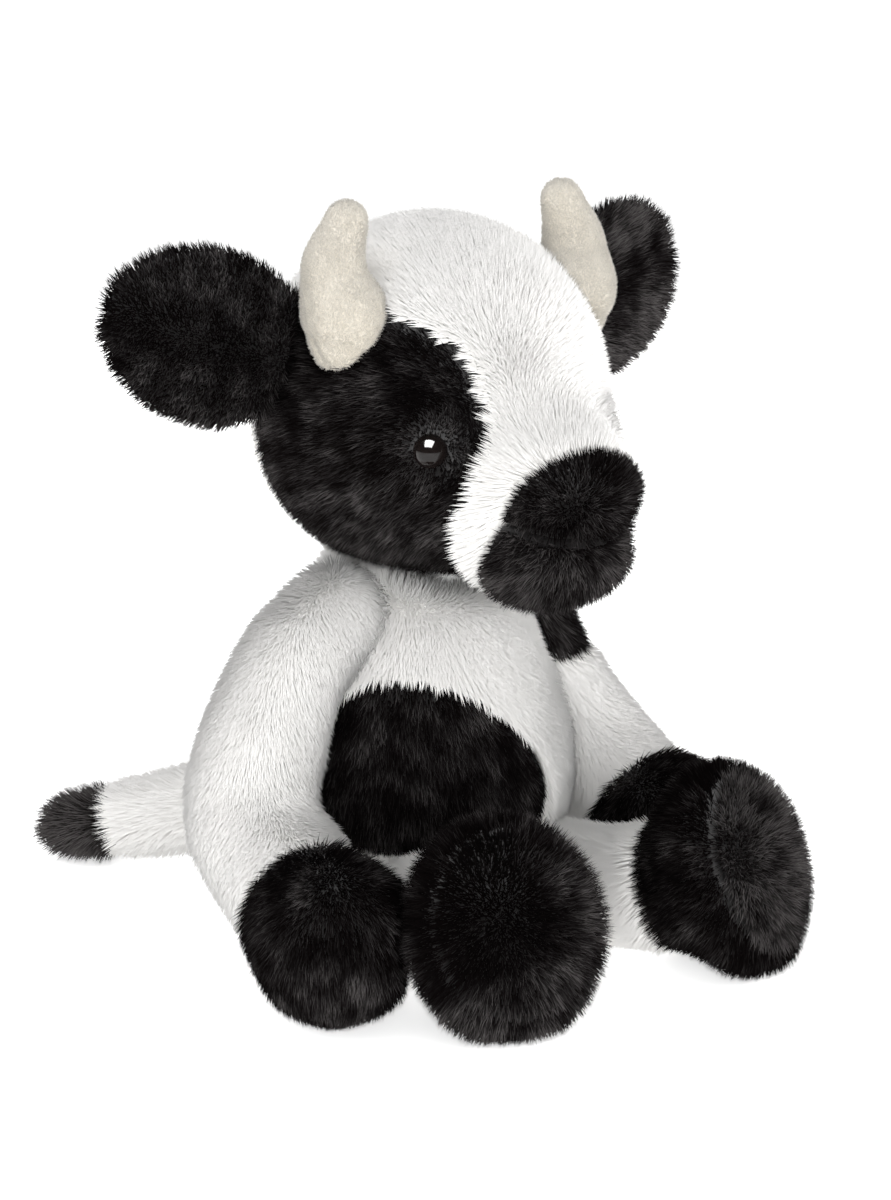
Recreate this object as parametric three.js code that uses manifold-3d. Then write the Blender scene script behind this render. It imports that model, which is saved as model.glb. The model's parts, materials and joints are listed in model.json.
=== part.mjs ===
// A seated plush cow, built from its cut panels, its filling and its hard eyes.
// Sizes are in millimetres. +Z is up, the cow faces -Y, and its own right side is -X.
// The origin is on the floor under the seat.
import * as THREE from 'three';
import { mergeVertices } from 'three/addons/utils/BufferGeometryUtils.js';
import Module from 'manifold-3d';

const wasm = await Module();
wasm.setup();

// Cloth and clearances
const pileWall = 6.5; // pile cloth of the body, head and limbs
const suedeWall = 2.4; // short pile cloth of the horns
const seamGap = 0.4; // between two panels that are sewn edge to edge
const fillGap = 0.4; // between a cloth and the filling behind it
const turningGap = 0.5; // between two pieces that move on each other
const pawGap = 0.8; // between a paw and the leg that it rests against
const neckGap = 0.7; // round the ball of the neck
const floorPress = 0.5; // how deep the floor presses a stuffed form flat
const cutReach = 400; // how far a cutting block reaches

// Torso: a wide belly under a narrower chest
const bellyWidth = 122;
const bellyDepth = 118;
const bellyHeight = 108;
const chestWidth = 92;
const chestDepth = 88;
const chestHeight = 100;
const chestSetback = -6;
const torsoHeight = 142;
const torsoSoftness = 7; // how gently belly and chest run into each other
const seatSeamHeight = 9;
const sideSeamSetback = 6;

// Pellet pouch in the seat
const pouchWidth = 78;
const pouchDepth = 74;
const pouchHeight = 24;
const pouchLift = 8; // from the seat's lining up to its middle

// Black patch let into the belly
const bellyPatchWidth = 87;
const bellyPatchHeight = 64;
const bellyPatchLevel = 69; // height of its middle
const bellyPatchTurn = 24; // degrees from straight ahead to the right
const bellyPatchShares = [
  [-0.34, 1],
  [0.22, 0.8],
  [0.66, 0.38],
  [0.95, -0.2],
  [0.96, -0.7],
  [0.5, -1],
  [-0.2, -0.94],
  [-0.84, -0.78],
  [-1, -0.3],
  [-0.88, 0.48],
  [-0.66, 0.84],
]; // of half its width and height, seen from the front

// Neck: a firm ball of filling that torso and head both seat on
const neckWidth = 46;
const neckDrop = 14; // from the torso's top down to the ball's centre
const neckSetback = -12;
const neckTurns = [
  [0, 0],
  [0, -8],
  [0, 6],
  [0, 12],
  [-30, -8],
  [-30, 0],
  [30, 0],
  [30, 12],
]; // degrees: how far the head is turned to its left, and nodded down

// Head: a ball, a snout, and a muzzle of two pads
const headWidth = 125;
const headDepth = 118;
const headHeight = 126;
const headLift = 69; // from the neck ball's centre up to the head's
const headSetback = -17;
const headSoftness = 5;
const jowlWidth = 111;
const jowlDepth = 111;
const jowlHeight = 86;
const jowlSetback = 6; // behind the head's centre
const jowlDrop = 14; // below the head's centre
const snoutWidth = 74;
const snoutDepth = 70;
const snoutHeight = 62;
const snoutReach = 44; // forward of the head's centre
const snoutDrop = 26; // below the head's centre
const noseWidth = 56;
const noseDepth = 46;
const noseHeight = 38;
const noseReach = 70.5;
const noseDrop = 24;
const chinWidth = 58;
const chinDepth = 46;
const chinHeight = 34;
const chinReach = 65;
const chinDrop = 47;
const muzzleSeamReach = 78; // from the head's centre along the snout to the muzzle's seam
const mouthTilt = 4; // degrees from the snout's line to the crease between the pads

// Black patch round the right eye: its outline in side view, as shares of half the head's
// depth (forward) and height (up), taken round from its lowest point
const eyePatchShares = [
  [-0.1, -1.3],
  [0.7, -1.2],
  [0.87, -0.7],
  [1.04, -0.32],
  [1.04, -0.1],
  [0.92, 0.12],
  [0.8, 0.38],
  [0.5, 0.54],
  [0.1, 0.72],
  [-0.32, 0.6],
  [-0.48, 0.1],
  [-0.46, -0.6],
];
const eyePatchMiddleShare = 0.1; // of half the head's width, kept clear of the middle

// Safety eyes
const eyeWidth = 12;
const eyeCrown = 5.2; // height of the dome
const eyeStemWidth = 4.4;
const eyeStemFit = 0.15; // clearance round the stem
const eyeSink = 1.2; // how far the dome's rim is pressed into the pile
const eyeShares = [0.59, -0.77, -0.14]; // way from the head's centre, in half head sizes
const washerWidth = 14;
const washerThickness = 1.6;
const washerDepth = 8; // from the skin to the washer's outer face
const stemEnd = 2; // how far the stem stands out behind the washer

// Horns
const hornLength = 47;
const hornBaseWidth = 25;
const hornMiddleWidth = 30.5;
const hornNeckWidth = 22;
const hornTipWidth = 15;
const hornRootShares = [0.75, -0.24, 0.3]; // place of the root, in half head sizes
const hornRouteShares = [
  [0, 0, 0],
  [0.08, -0.06, 0.3],
  [0.14, 0.01, 0.66],
  [0.02, 0.01, 1],
]; // of the horn's length, outwards, back and up

// Ears
const earLength = 70;
const earWidth = 58;
const earThickness = 13; // both cloths together, in the middle
const earEdge = 2.6; // both cloths together, at the rim
const earCup = 6; // how far the rims stand forward of the middle
const earRise = 20; // degrees the ear points up
const earSweep = 8; // degrees the ear points back
const earSink = 9; // how deep the root is set into the head's form
const earRootShares = [0.93, 0.12, 0.26]; // way from the head's centre, in half head sizes
const earWidthShares = [0.55, 0.8, 1, 1, 0.86, 0.3]; // of the ear's width, root to tip
const earTurns = [-25, -12, 0, 8, 15]; // degrees the ear turns, from its drop to its rise

// Arms
const armReach = 100; // scale of both arm routes
const armWidths = { shoulder: 34, upper: 39, elbow: 44, fore: 47, wrist: 47, paw: 59 };
const shoulderHemDrop = 30; // from the shoulder down to where the left arm's black part ends
const pawCap = 28; // from the paw's middle to its rounded end
const wristShare = 0.82; // of the arm's route, where the black paw begins
const shoulderDrop = 18; // from the torso's top down to the shoulder's middle
const shoulderSetback = -15;
const shoulderSpread = 42; // from the middle plane
const armPivotRise = 10; // from the shoulder's middle up to the top of its seam
const armPivotSpread = 33;
const armLifts = [0, 10, 20, 30]; // degrees
const pawFaceTurns = {
  right: { sleeve: 105, foot: 135 },
  left: { sleeve: 110, foot: 148 },
}; // degrees from straight ahead, of the flat faces where a paw rests against its leg
const rightArmShares = [
  [0, 0, 0],
  [0.2, -0.03, -0.14],
  [0.35, -0.05, -0.4],
  [0.43, -0.08, -0.64],
  [0.45, -0.29, -0.81],
  [0.49, -0.65, -0.955],
]; // of the arm's reach: outwards, back and up from the shoulder
const leftArmShares = [
  [-0.06, 0.02, 0],
  [0.03, 0.04, -0.15],
  [0.15, 0.06, -0.38],
  [0.29, 0.03, -0.62],
  [0.37, -0.16, -0.82],
  [0.38, -0.44, -0.955],
];

// Legs
const legReach = 79; // from the hip to the foot's middle
const legRouteShares = { thigh: 0.333, ankle: 0.667 }; // of the leg's reach
const legWidths = { hip: 43, thigh: 43, ankle: 46, foot: 77 };
const footNarrowing = 0.12; // share by which the foot is narrower than it is tall
const footCap = 22; // from the foot's middle to its sole
const hipSpread = 27;
const hipSetback = -44;
const legHeight = 21; // height of the thigh's middle
const ankleHeight = 24.5;
const footHeight = 35.2;
const legSplays = { right: 18, left: 20 }; // degrees each leg points outwards
const ankleShare = 0.66; // of the leg's route, where the black foot begins
const soleInset = 11; // from the sole's end back to its seam
const creaseHeight = 42; // where the leg bends against the belly
const creaseSetback = -41;
const legLifts = [0, 8, 16, 24, 30]; // degrees

// Tail
const tailReach = 100;
const tailWidths = { root: 27, middle: 25, tip: 20 };
const tailCap = 11;
const tailRootDrop = 0.6; // slope from the torso's middle down to the tail's root
const tailRouteShares = [
  [0, 0, 0],
  [-0.16, 0.25, -0.09],
  [-0.37, 0.52, -0.18],
  [-0.57, 0.745, -0.24],
]; // of the tail's reach, from the torso's back
const tipShare = 0.84; // of the tail's route, where the black tip begins
const tailTurns = [-35, -18, 0, 18, 35]; // degrees

// How dull each surface is, from 0 to 1
const clothDullness = 1;
const suedeDullness = 0.95;
const washerDullness = 0.5;
const eyeDullness = 0.12;

// Fineness of the stuffed forms
const headRings = 24;
const headSides = 30;
const torsoRings = 18;
const torsoSides = 28;
const coreRings = 9;
const coreSides = 14;
const limbSteps = 10;
const limbSides = 16;
const coreSteps = 6;
const coreLimbSides = 8;
const outlineSteps = 3;
const roundSteps = 16;
const ballSteps = 20;
const armSteps = 14;
const armCoreSteps = 8;
const hornSteps = 10;
const hornSides = 14;
const hornCoreSteps = 5;
const hornCoreSides = 8;
const tailSteps = 8;
const tailSides = 12;
const domeSteps = 6;
const earLengthSteps = 8;
const earCrossSteps = 6;
const skinPasses = 24; // halvings that find a skin point

const up = new THREE.Vector3(0, 0, 1);
const outwards = new THREE.Vector3(1, 0, 0);
const ahead = new THREE.Vector3(0, -1, 0);
const colours = {
  white: 0xecebe8,
  black: 0x161213,
  cream: 0xe5dfcf,
  filling: 0xf4f4f2,
  pouch: 0xd9d4c8,
  eye: 0x0a0808,
  washer: 0xe8e6df,
};

function vector(x, y, z) {
  return new THREE.Vector3(x, y, z);
}

// Shares of three sizes, mirrored to one side (+1 left, -1 right)
function placed(shares, sizes, side = 1) {
  return vector(shares[0] * sizes.x * side, shares[1] * sizes.y, shares[2] * sizes.z);
}

// A level direction, turned from straight ahead towards one side
function heading(degrees, side) {
  const turn = THREE.MathUtils.degToRad(degrees);
  return vector(side * Math.sin(turn), -Math.cos(turn), 0);
}

// Joining and cutting

function solidOf(geometry) {
  const bare = geometry.clone();
  bare.deleteAttribute('normal');
  bare.deleteAttribute('uv');
  const welded = mergeVertices(bare);
  return new wasm.Manifold(
    new wasm.Mesh({
      numProp: 3,
      vertProperties: new Float32Array(welded.attributes.position.array),
      triVerts: new Uint32Array(welded.index.array),
    }),
  );
}

function geometryOf(solid) {
  const { vertProperties, triVerts } = solid.getMesh();
  const geometry = new THREE.BufferGeometry();
  geometry.setAttribute('position', new THREE.BufferAttribute(vertProperties, 3));
  geometry.setIndex(new THREE.BufferAttribute(triVerts, 1));
  geometry.computeVertexNormals();
  return geometry;
}

function indexed(points, faces) {
  const geometry = new THREE.BufferGeometry();
  const flat = points.flatMap((point) => point.toArray());
  geometry.setAttribute('position', new THREE.Float32BufferAttribute(flat, 3));
  geometry.setIndex(faces);
  return geometry;
}

// Rings of points, each turning left round the way from the first pole to the last,
// become one closed body.
function closedRings(firstPole, rings, lastPole) {
  const sides = rings[0].length;
  const last = 1 + rings.length * sides;
  const at = (ring, side) => 1 + ring * sides + (side % sides);
  const faces = [];
  for (let side = 0; side < sides; side += 1) {
    faces.push(0, at(0, side + 1), at(0, side));
    for (let ring = 0; ring + 1 < rings.length; ring += 1) {
      faces.push(at(ring, side), at(ring, side + 1), at(ring + 1, side));
      faces.push(at(ring + 1, side), at(ring, side + 1), at(ring + 1, side + 1));
    }
    faces.push(last, at(rings.length - 1, side), at(rings.length - 1, side + 1));
  }
  return indexed([firstPole, ...rings.flat(), lastPole], faces);
}

function facing(geometry, direction, place) {
  const turn = new THREE.Quaternion().setFromUnitVectors(up, direction.clone().normalize());
  geometry.applyQuaternion(turn);
  geometry.translate(place.x, place.y, place.z);
  return geometry;
}

// Everything beyond a plane through a point, on the side that its normal shows
function beyond(point, normal) {
  const box = new THREE.BoxGeometry(cutReach, cutReach, cutReach);
  box.translate(0, 0, cutReach / 2);
  return solidOf(facing(box, normal, point));
}

function withoutAll(solid, cutters) {
  return cutters.reduce((rest, cutter) => rest.subtract(cutter), solid);
}

function ball(centre, width) {
  const sphere = new THREE.SphereGeometry(width / 2, ballSteps, ballSteps / 2);
  sphere.translate(centre.x, centre.y, centre.z);
  return solidOf(sphere);
}

// A round rod through a point, from one distance along its direction to another
function rod(place, direction, width, from, to) {
  const cylinder = new THREE.CylinderGeometry(width / 2, width / 2, to - from, roundSteps);
  cylinder.rotateX(Math.PI / 2);
  cylinder.translate(0, 0, (from + to) / 2);
  return solidOf(facing(cylinder, direction, place));
}

function ellipsoid(centre, width, depth, height) {
  const sphere = new THREE.SphereGeometry(1, roundSteps, roundSteps / 2);
  sphere.rotateX(Math.PI / 2);
  sphere.scale(width / 2, depth / 2, height / 2);
  sphere.translate(centre.x, centre.y, centre.z);
  return solidOf(sphere);
}

function turnedAbout(geometry, pivot, axis, degrees) {
  const turned = geometry.clone();
  const angle = THREE.MathUtils.degToRad(degrees);
  turned.translate(-pivot.x, -pivot.y, -pivot.z);
  turned.applyQuaternion(new THREE.Quaternion().setFromAxisAngle(axis, angle));
  turned.translate(pivot.x, pivot.y, pivot.z);
  return turned;
}

// A form at each of some turns about a pivot
function turnsOf(form, pivot, axis, turns) {
  return turns.map((degrees) => solidOf(turnedAbout(form, pivot, axis, degrees)));
}

function farthest(solid, direction) {
  const { vertProperties } = solid.getMesh();
  let reach = -cutReach;
  for (let at = 0; at < vertProperties.length; at += 3) {
    reach = Math.max(reach, vector(...vertProperties.subarray(at, at + 3)).dot(direction));
  }
  return reach;
}

// An upright outline pushed through a form. Across runs to the left of one who looks along
// the push, so an outline keeps its own x when the push points ahead.
function pushed(outline, middle, direction) {
  const cutter = new THREE.ExtrudeGeometry(outline, {
    depth: cutReach,
    bevelEnabled: false,
  });
  const across = up.clone().cross(direction);
  cutter.applyMatrix4(new THREE.Matrix4().makeBasis(across, up, direction).setPosition(middle));
  return solidOf(cutter);
}

// A smooth closed outline through shares of a half width and half height, grown by a gap
function smoothOutline(shares, halfWidth, halfHeight, gap) {
  const points = shares.map(([x, y]) => new THREE.Vector2(x * halfWidth, y * halfHeight));
  const middle = points
    .reduce((sum, point) => sum.add(point), new THREE.Vector2())
    .divideScalar(points.length);
  const grown = points.map((point) => {
    const away = point.clone().sub(middle);
    return vector(middle.x, middle.y, 0).add(
      vector(away.x, away.y, 0).setLength(away.length() + gap),
    );
  });
  const curve = new THREE.CatmullRomCurve3(grown, true);
  const corners = curve.getPoints(grown.length * outlineSteps).slice(0, -1);
  return new THREE.Shape(corners.map((point) => new THREE.Vector2(point.x, point.y)));
}

// Stuffed forms made of lobes that run into each other

function lobe(centre, width, depth, height) {
  return { centre, half: vector(width / 2, depth / 2, height / 2) };
}

function lobeDistance(point, { centre, half }) {
  const near = point.clone().sub(centre).divide(half);
  const steep = near.clone().divide(half).length();
  const reach = near.length();
  return steep > 0 ? (reach * (reach - 1)) / steep : -Math.min(half.x, half.y, half.z);
}

function formDistance(point, form) {
  const sum = form.lobes.reduce(
    (total, part) => total + Math.exp(-lobeDistance(point, part) / form.softness),
    0,
  );
  return -form.softness * Math.log(sum);
}

// Where a straight way out of the form's centre comes through its skin, or through a layer
// that lies outside (level over 0) or inside (level under 0) the skin
function skinPoint(form, direction, level = 0) {
  const way = direction.clone().normalize();
  let inside = 0;
  let outside = form.reach;
  for (let pass = 0; pass < skinPasses; pass += 1) {
    const middle = (inside + outside) / 2;
    const point = form.centre.clone().addScaledVector(way, middle);
    if (formDistance(point, form) < level) {
      inside = middle;
    } else {
      outside = middle;
    }
  }
  return form.centre.clone().addScaledVector(way, (inside + outside) / 2);
}

function skinNormal(form, point) {
  const slope = (axis) =>
    formDistance(point.clone().addScaledVector(axis, seamGap), form) -
    formDistance(point.clone().addScaledVector(axis, -seamGap), form);
  return vector(slope(outwards), -slope(ahead), slope(up)).normalize();
}

// The form's skin at one level, in rings round its pole. They are closer together near the
// pole as crowding goes over 1.
function lobedForm(form, level, rings, sides) {
  const side = form.pole.clone().cross(outwards).normalize();
  const rows = [];
  for (let ring = 1; ring < rings; ring += 1) {
    const lean = Math.PI * (ring / rings) ** form.crowding;
    const row = [];
    for (let step = 0; step < sides; step += 1) {
      const round = (2 * Math.PI * step) / sides;
      const way = form.pole
        .clone()
        .multiplyScalar(Math.cos(lean))
        .addScaledVector(outwards, Math.sin(lean) * Math.cos(round))
        .addScaledVector(side, -Math.sin(lean) * Math.sin(round));
      row.push(skinPoint(form, way, level));
    }
    rows.push(row);
  }
  const first = skinPoint(form, form.pole, level);
  const last = skinPoint(form, form.pole.clone().negate(), level);
  return closedRings(first, rows, last);
}

// Stuffed limbs: a round section that swells and tapers along a bent route

function sectionRadius(widths, share) {
  const place = Math.min(share, 1) * (widths.length - 1);
  const before = Math.min(Math.floor(place), widths.length - 2);
  const part = place - before;
  const ease = part * part * (3 - 2 * part);
  return THREE.MathUtils.lerp(widths[before], widths[before + 1], ease) / 2;
}

function limbForm(limb, level, steps, sides) {
  const route = new THREE.CatmullRomCurve3(limb.route);
  const frames = route.computeFrenetFrames(steps);
  const capRings = Math.round(sides / 4);
  const ringAt = (index, radius, along) => {
    const centre = route.getPointAt(index / steps).addScaledVector(frames.tangents[index], along);
    const narrower = limb.narrowing * (index / steps);
    const row = [];
    for (let step = 0; step < sides; step += 1) {
      const round = (2 * Math.PI * step) / sides;
      const spoke = vector(0, 0, 0)
        .addScaledVector(frames.normals[index], radius * Math.cos(round))
        .addScaledVector(frames.binormals[index], radius * Math.sin(round));
      spoke.addScaledVector(limb.across, -narrower * spoke.dot(limb.across));
      row.push(centre.clone().add(spoke));
    }
    return row;
  };
  const rows = [];
  const startDepth = limb.startCap + level;
  const endDepth = limb.endCap + level;
  const startRadius = sectionRadius(limb.widths, 0) + level;
  const endRadius = sectionRadius(limb.widths, 1) + level;
  for (let cap = 1; cap <= capRings; cap += 1) {
    const lean = (Math.PI / 2) * (cap / capRings);
    rows.push(ringAt(0, startRadius * Math.sin(lean), -startDepth * Math.cos(lean)));
  }
  for (let step = 1; step < steps; step += 1) {
    rows.push(ringAt(step, sectionRadius(limb.widths, step / steps) + level, 0));
  }
  for (let cap = capRings; cap >= 1; cap -= 1) {
    const lean = (Math.PI / 2) * (cap / capRings);
    rows.push(ringAt(steps, endRadius * Math.sin(lean), endDepth * Math.cos(lean)));
  }
  const start = route.getPointAt(0).addScaledVector(frames.tangents[0], -startDepth);
  const end = route.getPointAt(1).addScaledVector(frames.tangents[steps], endDepth);
  return closedRings(start, rows, end);
}

// A plane across a limb's route, at a share of it
function acrossLimb(limb, share, gap) {
  const route = new THREE.CatmullRomCurve3(limb.route);
  const tangent = route.getTangentAt(share);
  return beyond(route.getPointAt(share).addScaledVector(tangent, gap), tangent);
}

const pieces = new THREE.Group();

function addPiece(name, solid, colour, roughness = clothDullness) {
  const material = new THREE.MeshStandardMaterial({ color: colour, roughness, metalness: 0 });
  const mesh = new THREE.Mesh(geometryOf(solid), material);
  mesh.name = name;
  pieces.add(mesh);
}

const underFloor = beyond(vector(0, 0, 0), vector(0, 0, -1));
const underHollow = beyond(vector(0, 0, pileWall), vector(0, 0, -1));
const underFilling = beyond(vector(0, 0, pileWall + fillGap), vector(0, 0, -1));

// Torso

const torso = {
  centre: vector(0, 0, torsoHeight / 2),
  pole: up,
  crowding: 1,
  reach: torsoHeight,
  softness: torsoSoftness,
  lobes: [
    lobe(vector(0, 0, bellyHeight / 2 - floorPress), bellyWidth, bellyDepth, bellyHeight),
    lobe(
      vector(0, chestSetback, torsoHeight - chestHeight / 2),
      chestWidth,
      chestDepth,
      chestHeight,
    ),
  ],
};
const neckCentre = vector(0, neckSetback, torsoHeight - neckDrop);
const neckSeat = ball(neckCentre, neckWidth + 2 * neckGap);
const torsoClear = lobedForm(torso, turningGap, torsoRings, torsoSides);

function buildTorso() {
  const outer = solidOf(lobedForm(torso, 0, torsoRings, torsoSides)).subtract(underFloor);
  const hollow = solidOf(lobedForm(torso, -pileWall, coreRings, coreSides)).subtract(underHollow);
  const shell = outer.subtract(hollow).subtract(neckSeat).subtract(headRoom);
  const patch = (gap) =>
    pushed(
      smoothOutline(bellyPatchShares, bellyPatchWidth / 2, bellyPatchHeight / 2, gap),
      vector(0, 0, bellyPatchLevel),
      heading(bellyPatchTurn, -1),
    );
  const underSeatSeam = (gap) => beyond(vector(0, 0, seatSeamHeight + gap), vector(0, 0, -1));
  const behindSideSeam = (gap) => beyond(vector(0, sideSeamSetback - gap, 0), vector(0, 1, 0));
  const white = shell.subtract(patch(seamGap));
  const walls = white.subtract(underSeatSeam(seamGap));
  addPiece('chest_and_belly', walls.subtract(behindSideSeam(seamGap)), colours.white);
  addPiece('back_panel', walls.intersect(behindSideSeam(0)), colours.white);
  addPiece('seat_panel', white.intersect(underSeatSeam(0)), colours.white);
  addPiece('belly_patch', shell.intersect(patch(0)), colours.black);
}

function buildTorsoFilling() {
  const core = solidOf(lobedForm(torso, -pileWall - fillGap, coreRings, coreSides))
    .subtract(underFilling)
    .subtract(neckSeat)
    .subtract(headRoom);
  const pouchMiddle = vector(0, 0, pileWall + fillGap + pouchLift);
  const pouch = (gap) =>
    ellipsoid(pouchMiddle, pouchWidth + 2 * gap, pouchDepth + 2 * gap, pouchHeight + 2 * gap);
  addPiece('torso_stuffing', core.subtract(pouch(fillGap)), colours.filling);
  addPiece('pellet_pouch', core.intersect(pouch(0)), colours.pouch);
  addPiece('neck_stuffing', ball(neckCentre, neckWidth), colours.filling);
}

// Head

const headCentre = vector(0, headSetback, neckCentre.z + headLift);
const headHalf = vector(headWidth / 2, headDepth / 2, headHeight / 2);
const muzzleMiddle = vector(
  0,
  -(noseReach + chinReach) / 2,
  -(noseDrop + chinDrop) / 2,
);
const head = {
  centre: headCentre,
  pole: muzzleMiddle.clone().normalize(),
  crowding: 1.4,
  reach: headDepth + noseReach,
  softness: headSoftness,
  lobes: [
    lobe(headCentre, headWidth, headDepth, headHeight),
    lobe(
      headCentre.clone().add(vector(0, jowlSetback, -jowlDrop)),
      jowlWidth,
      jowlDepth,
      jowlHeight,
    ),
    lobe(
      headCentre.clone().add(vector(0, -snoutReach, -snoutDrop)),
      snoutWidth,
      snoutDepth,
      snoutHeight,
    ),
    lobe(
      headCentre.clone().add(vector(0, -noseReach, -noseDrop)),
      noseWidth,
      noseDepth,
      noseHeight,
    ),
    lobe(
      headCentre.clone().add(vector(0, -chinReach, -chinDrop)),
      chinWidth,
      chinDepth,
      chinHeight,
    ),
  ],
};
const headClear = lobedForm(head, turningGap, headRings, headSides);
const headRoom = neckTurns
  .map(([turn, nod]) => {
    const nodded = turnedAbout(headClear, neckCentre, outwards, nod);
    return solidOf(turnedAbout(nodded, neckCentre, up, turn));
  })
  .reduce((joined, turned) => joined.add(turned));

function eyePatchCutter(gap) {
  const outline = smoothOutline(eyePatchShares, headHalf.y, headHalf.z, gap);
  const start = headCentre.clone().add(vector(gap - eyePatchMiddleShare * headHalf.x, 0, 0));
  return pushed(outline, start, vector(-1, 0, 0));
}

function eyeSeat(side) {
  const place = skinPoint(head, placed(eyeShares, headHalf, side));
  return { place, normal: skinNormal(head, place) };
}

function buildHead() {
  let shell = solidOf(lobedForm(head, 0, headRings, headSides))
    .subtract(solidOf(lobedForm(head, -pileWall, coreRings, coreSides)))
    .subtract(neckSeat);
  let filling = solidOf(lobedForm(head, -pileWall - fillGap, coreRings, coreSides)).subtract(
    neckSeat,
  );
  const washerBack = washerDepth + washerThickness;
  for (const side of [-1, 1]) {
    const { place, normal } = eyeSeat(side);
    const stemHole = rod(
      place,
      normal,
      eyeStemWidth + 2 * eyeStemFit,
      -washerBack - stemEnd - fillGap,
      eyeCrown,
    );
    const domeSeat = rod(place, normal, eyeWidth + 2 * fillGap, -eyeSink - fillGap, eyeCrown);
    const washerSeat = rod(
      place,
      normal,
      washerWidth + 2 * fillGap,
      -washerBack - stemEnd - fillGap,
      -washerDepth + fillGap,
    );
    shell = shell.subtract(stemHole).subtract(domeSeat).subtract(washerSeat);
    filling = filling.subtract(stemHole).subtract(washerSeat);
  }
  const muzzleFace = (gap) =>
    beyond(
      headCentre.clone().addScaledVector(head.pole, muzzleSeamReach - gap),
      head.pole,
    );
  const creaseUp = head.pole
    .clone()
    .applyAxisAngle(outwards, -Math.PI / 2 - THREE.MathUtils.degToRad(mouthTilt));
  const overCrease = (gap) =>
    beyond(headCentre.clone().addScaledVector(creaseUp, -gap), creaseUp);
  const muzzle = shell.intersect(muzzleFace(0));
  const face = shell.subtract(muzzleFace(seamGap));
  addPiece('head_panel', face.subtract(eyePatchCutter(seamGap)), colours.white);
  addPiece('eye_patch', face.intersect(eyePatchCutter(0)), colours.black);
  addPiece('nose_panel', muzzle.intersect(overCrease(0)), colours.black);
  addPiece('chin_panel', muzzle.subtract(overCrease(seamGap)), colours.black);
  addPiece('head_stuffing', filling, colours.filling);
}

function buildEye(side, name) {
  const { place, normal } = eyeSeat(side);
  const washerBack = washerDepth + washerThickness;
  const stem = eyeStemWidth / 2;
  const profile = [
    new THREE.Vector2(0, -washerBack - stemEnd),
    new THREE.Vector2(stem, -washerBack - stemEnd),
    new THREE.Vector2(stem, -eyeSink),
  ];
  for (let step = 0; step <= domeSteps; step += 1) {
    const lean = (Math.PI / 2) * (step / domeSteps);
    const outer = (eyeWidth / 2) * Math.cos(lean);
    profile.push(new THREE.Vector2(outer, -eyeSink + (eyeCrown + eyeSink) * Math.sin(lean)));
  }
  profile[profile.length - 1].x = 0;
  const eye = new THREE.LatheGeometry(profile, roundSteps);
  eye.rotateX(Math.PI / 2);
  addPiece(name, solidOf(facing(eye, normal, place)), colours.eye, eyeDullness);
  const washer = rod(place, normal, washerWidth, -washerBack, -washerDepth).subtract(
    rod(place, normal, eyeStemWidth + 2 * eyeStemFit, -washerBack - stemEnd, eyeCrown),
  );
  addPiece(`${name}_washer`, washer, colours.washer, washerDullness);
}

function hornForm(side) {
  const root = headCentre.clone().add(placed(hornRootShares, headHalf, side));
  const lengths = vector(hornLength, hornLength, hornLength);
  return {
    route: hornRouteShares.map((shares) => root.clone().add(placed(shares, lengths, side))),
    widths: [hornBaseWidth, hornMiddleWidth, hornNeckWidth, hornTipWidth],
    startCap: hornBaseWidth / 2,
    endCap: hornTipWidth / 2,
    across: outwards,
    narrowing: 0,
  };
}

function buildHorn(side, name) {
  const form = hornForm(side);
  const outside = solidOf(headClear);
  const outer = solidOf(limbForm(form, 0, hornSteps, hornSides));
  const hollow = solidOf(limbForm(form, -suedeWall, hornCoreSteps, hornCoreSides));
  const filling = solidOf(
    limbForm(form, -suedeWall - fillGap, hornCoreSteps, hornCoreSides),
  );
  addPiece(name, outer.subtract(hollow).subtract(outside), colours.cream, suedeDullness);
  addPiece(`${name}_stuffing`, filling.subtract(outside), colours.filling);
}

// Ears: two leaf-shaped cloths, back to back, cupped forwards

function earFrame(side) {
  const rise = THREE.MathUtils.degToRad(earRise);
  const sweep = THREE.MathUtils.degToRad(earSweep);
  const along = vector(
    side * Math.cos(rise) * Math.cos(sweep),
    Math.cos(rise) * Math.sin(sweep),
    Math.sin(rise),
  );
  const across = up.clone().addScaledVector(along, -up.dot(along)).normalize();
  const front = along.clone().cross(across).multiplyScalar(side);
  const seat = skinPoint(head, placed(earRootShares, headHalf, side));
  return { seat, along, across, front };
}

function earWidthAt(share) {
  const place = share * (earWidthShares.length - 1);
  const before = Math.min(Math.floor(place), earWidthShares.length - 2);
  const part = place - before;
  const ease = part * part * (3 - 2 * part);
  return earWidth * THREE.MathUtils.lerp(earWidthShares[before], earWidthShares[before + 1], ease);
}

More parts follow.
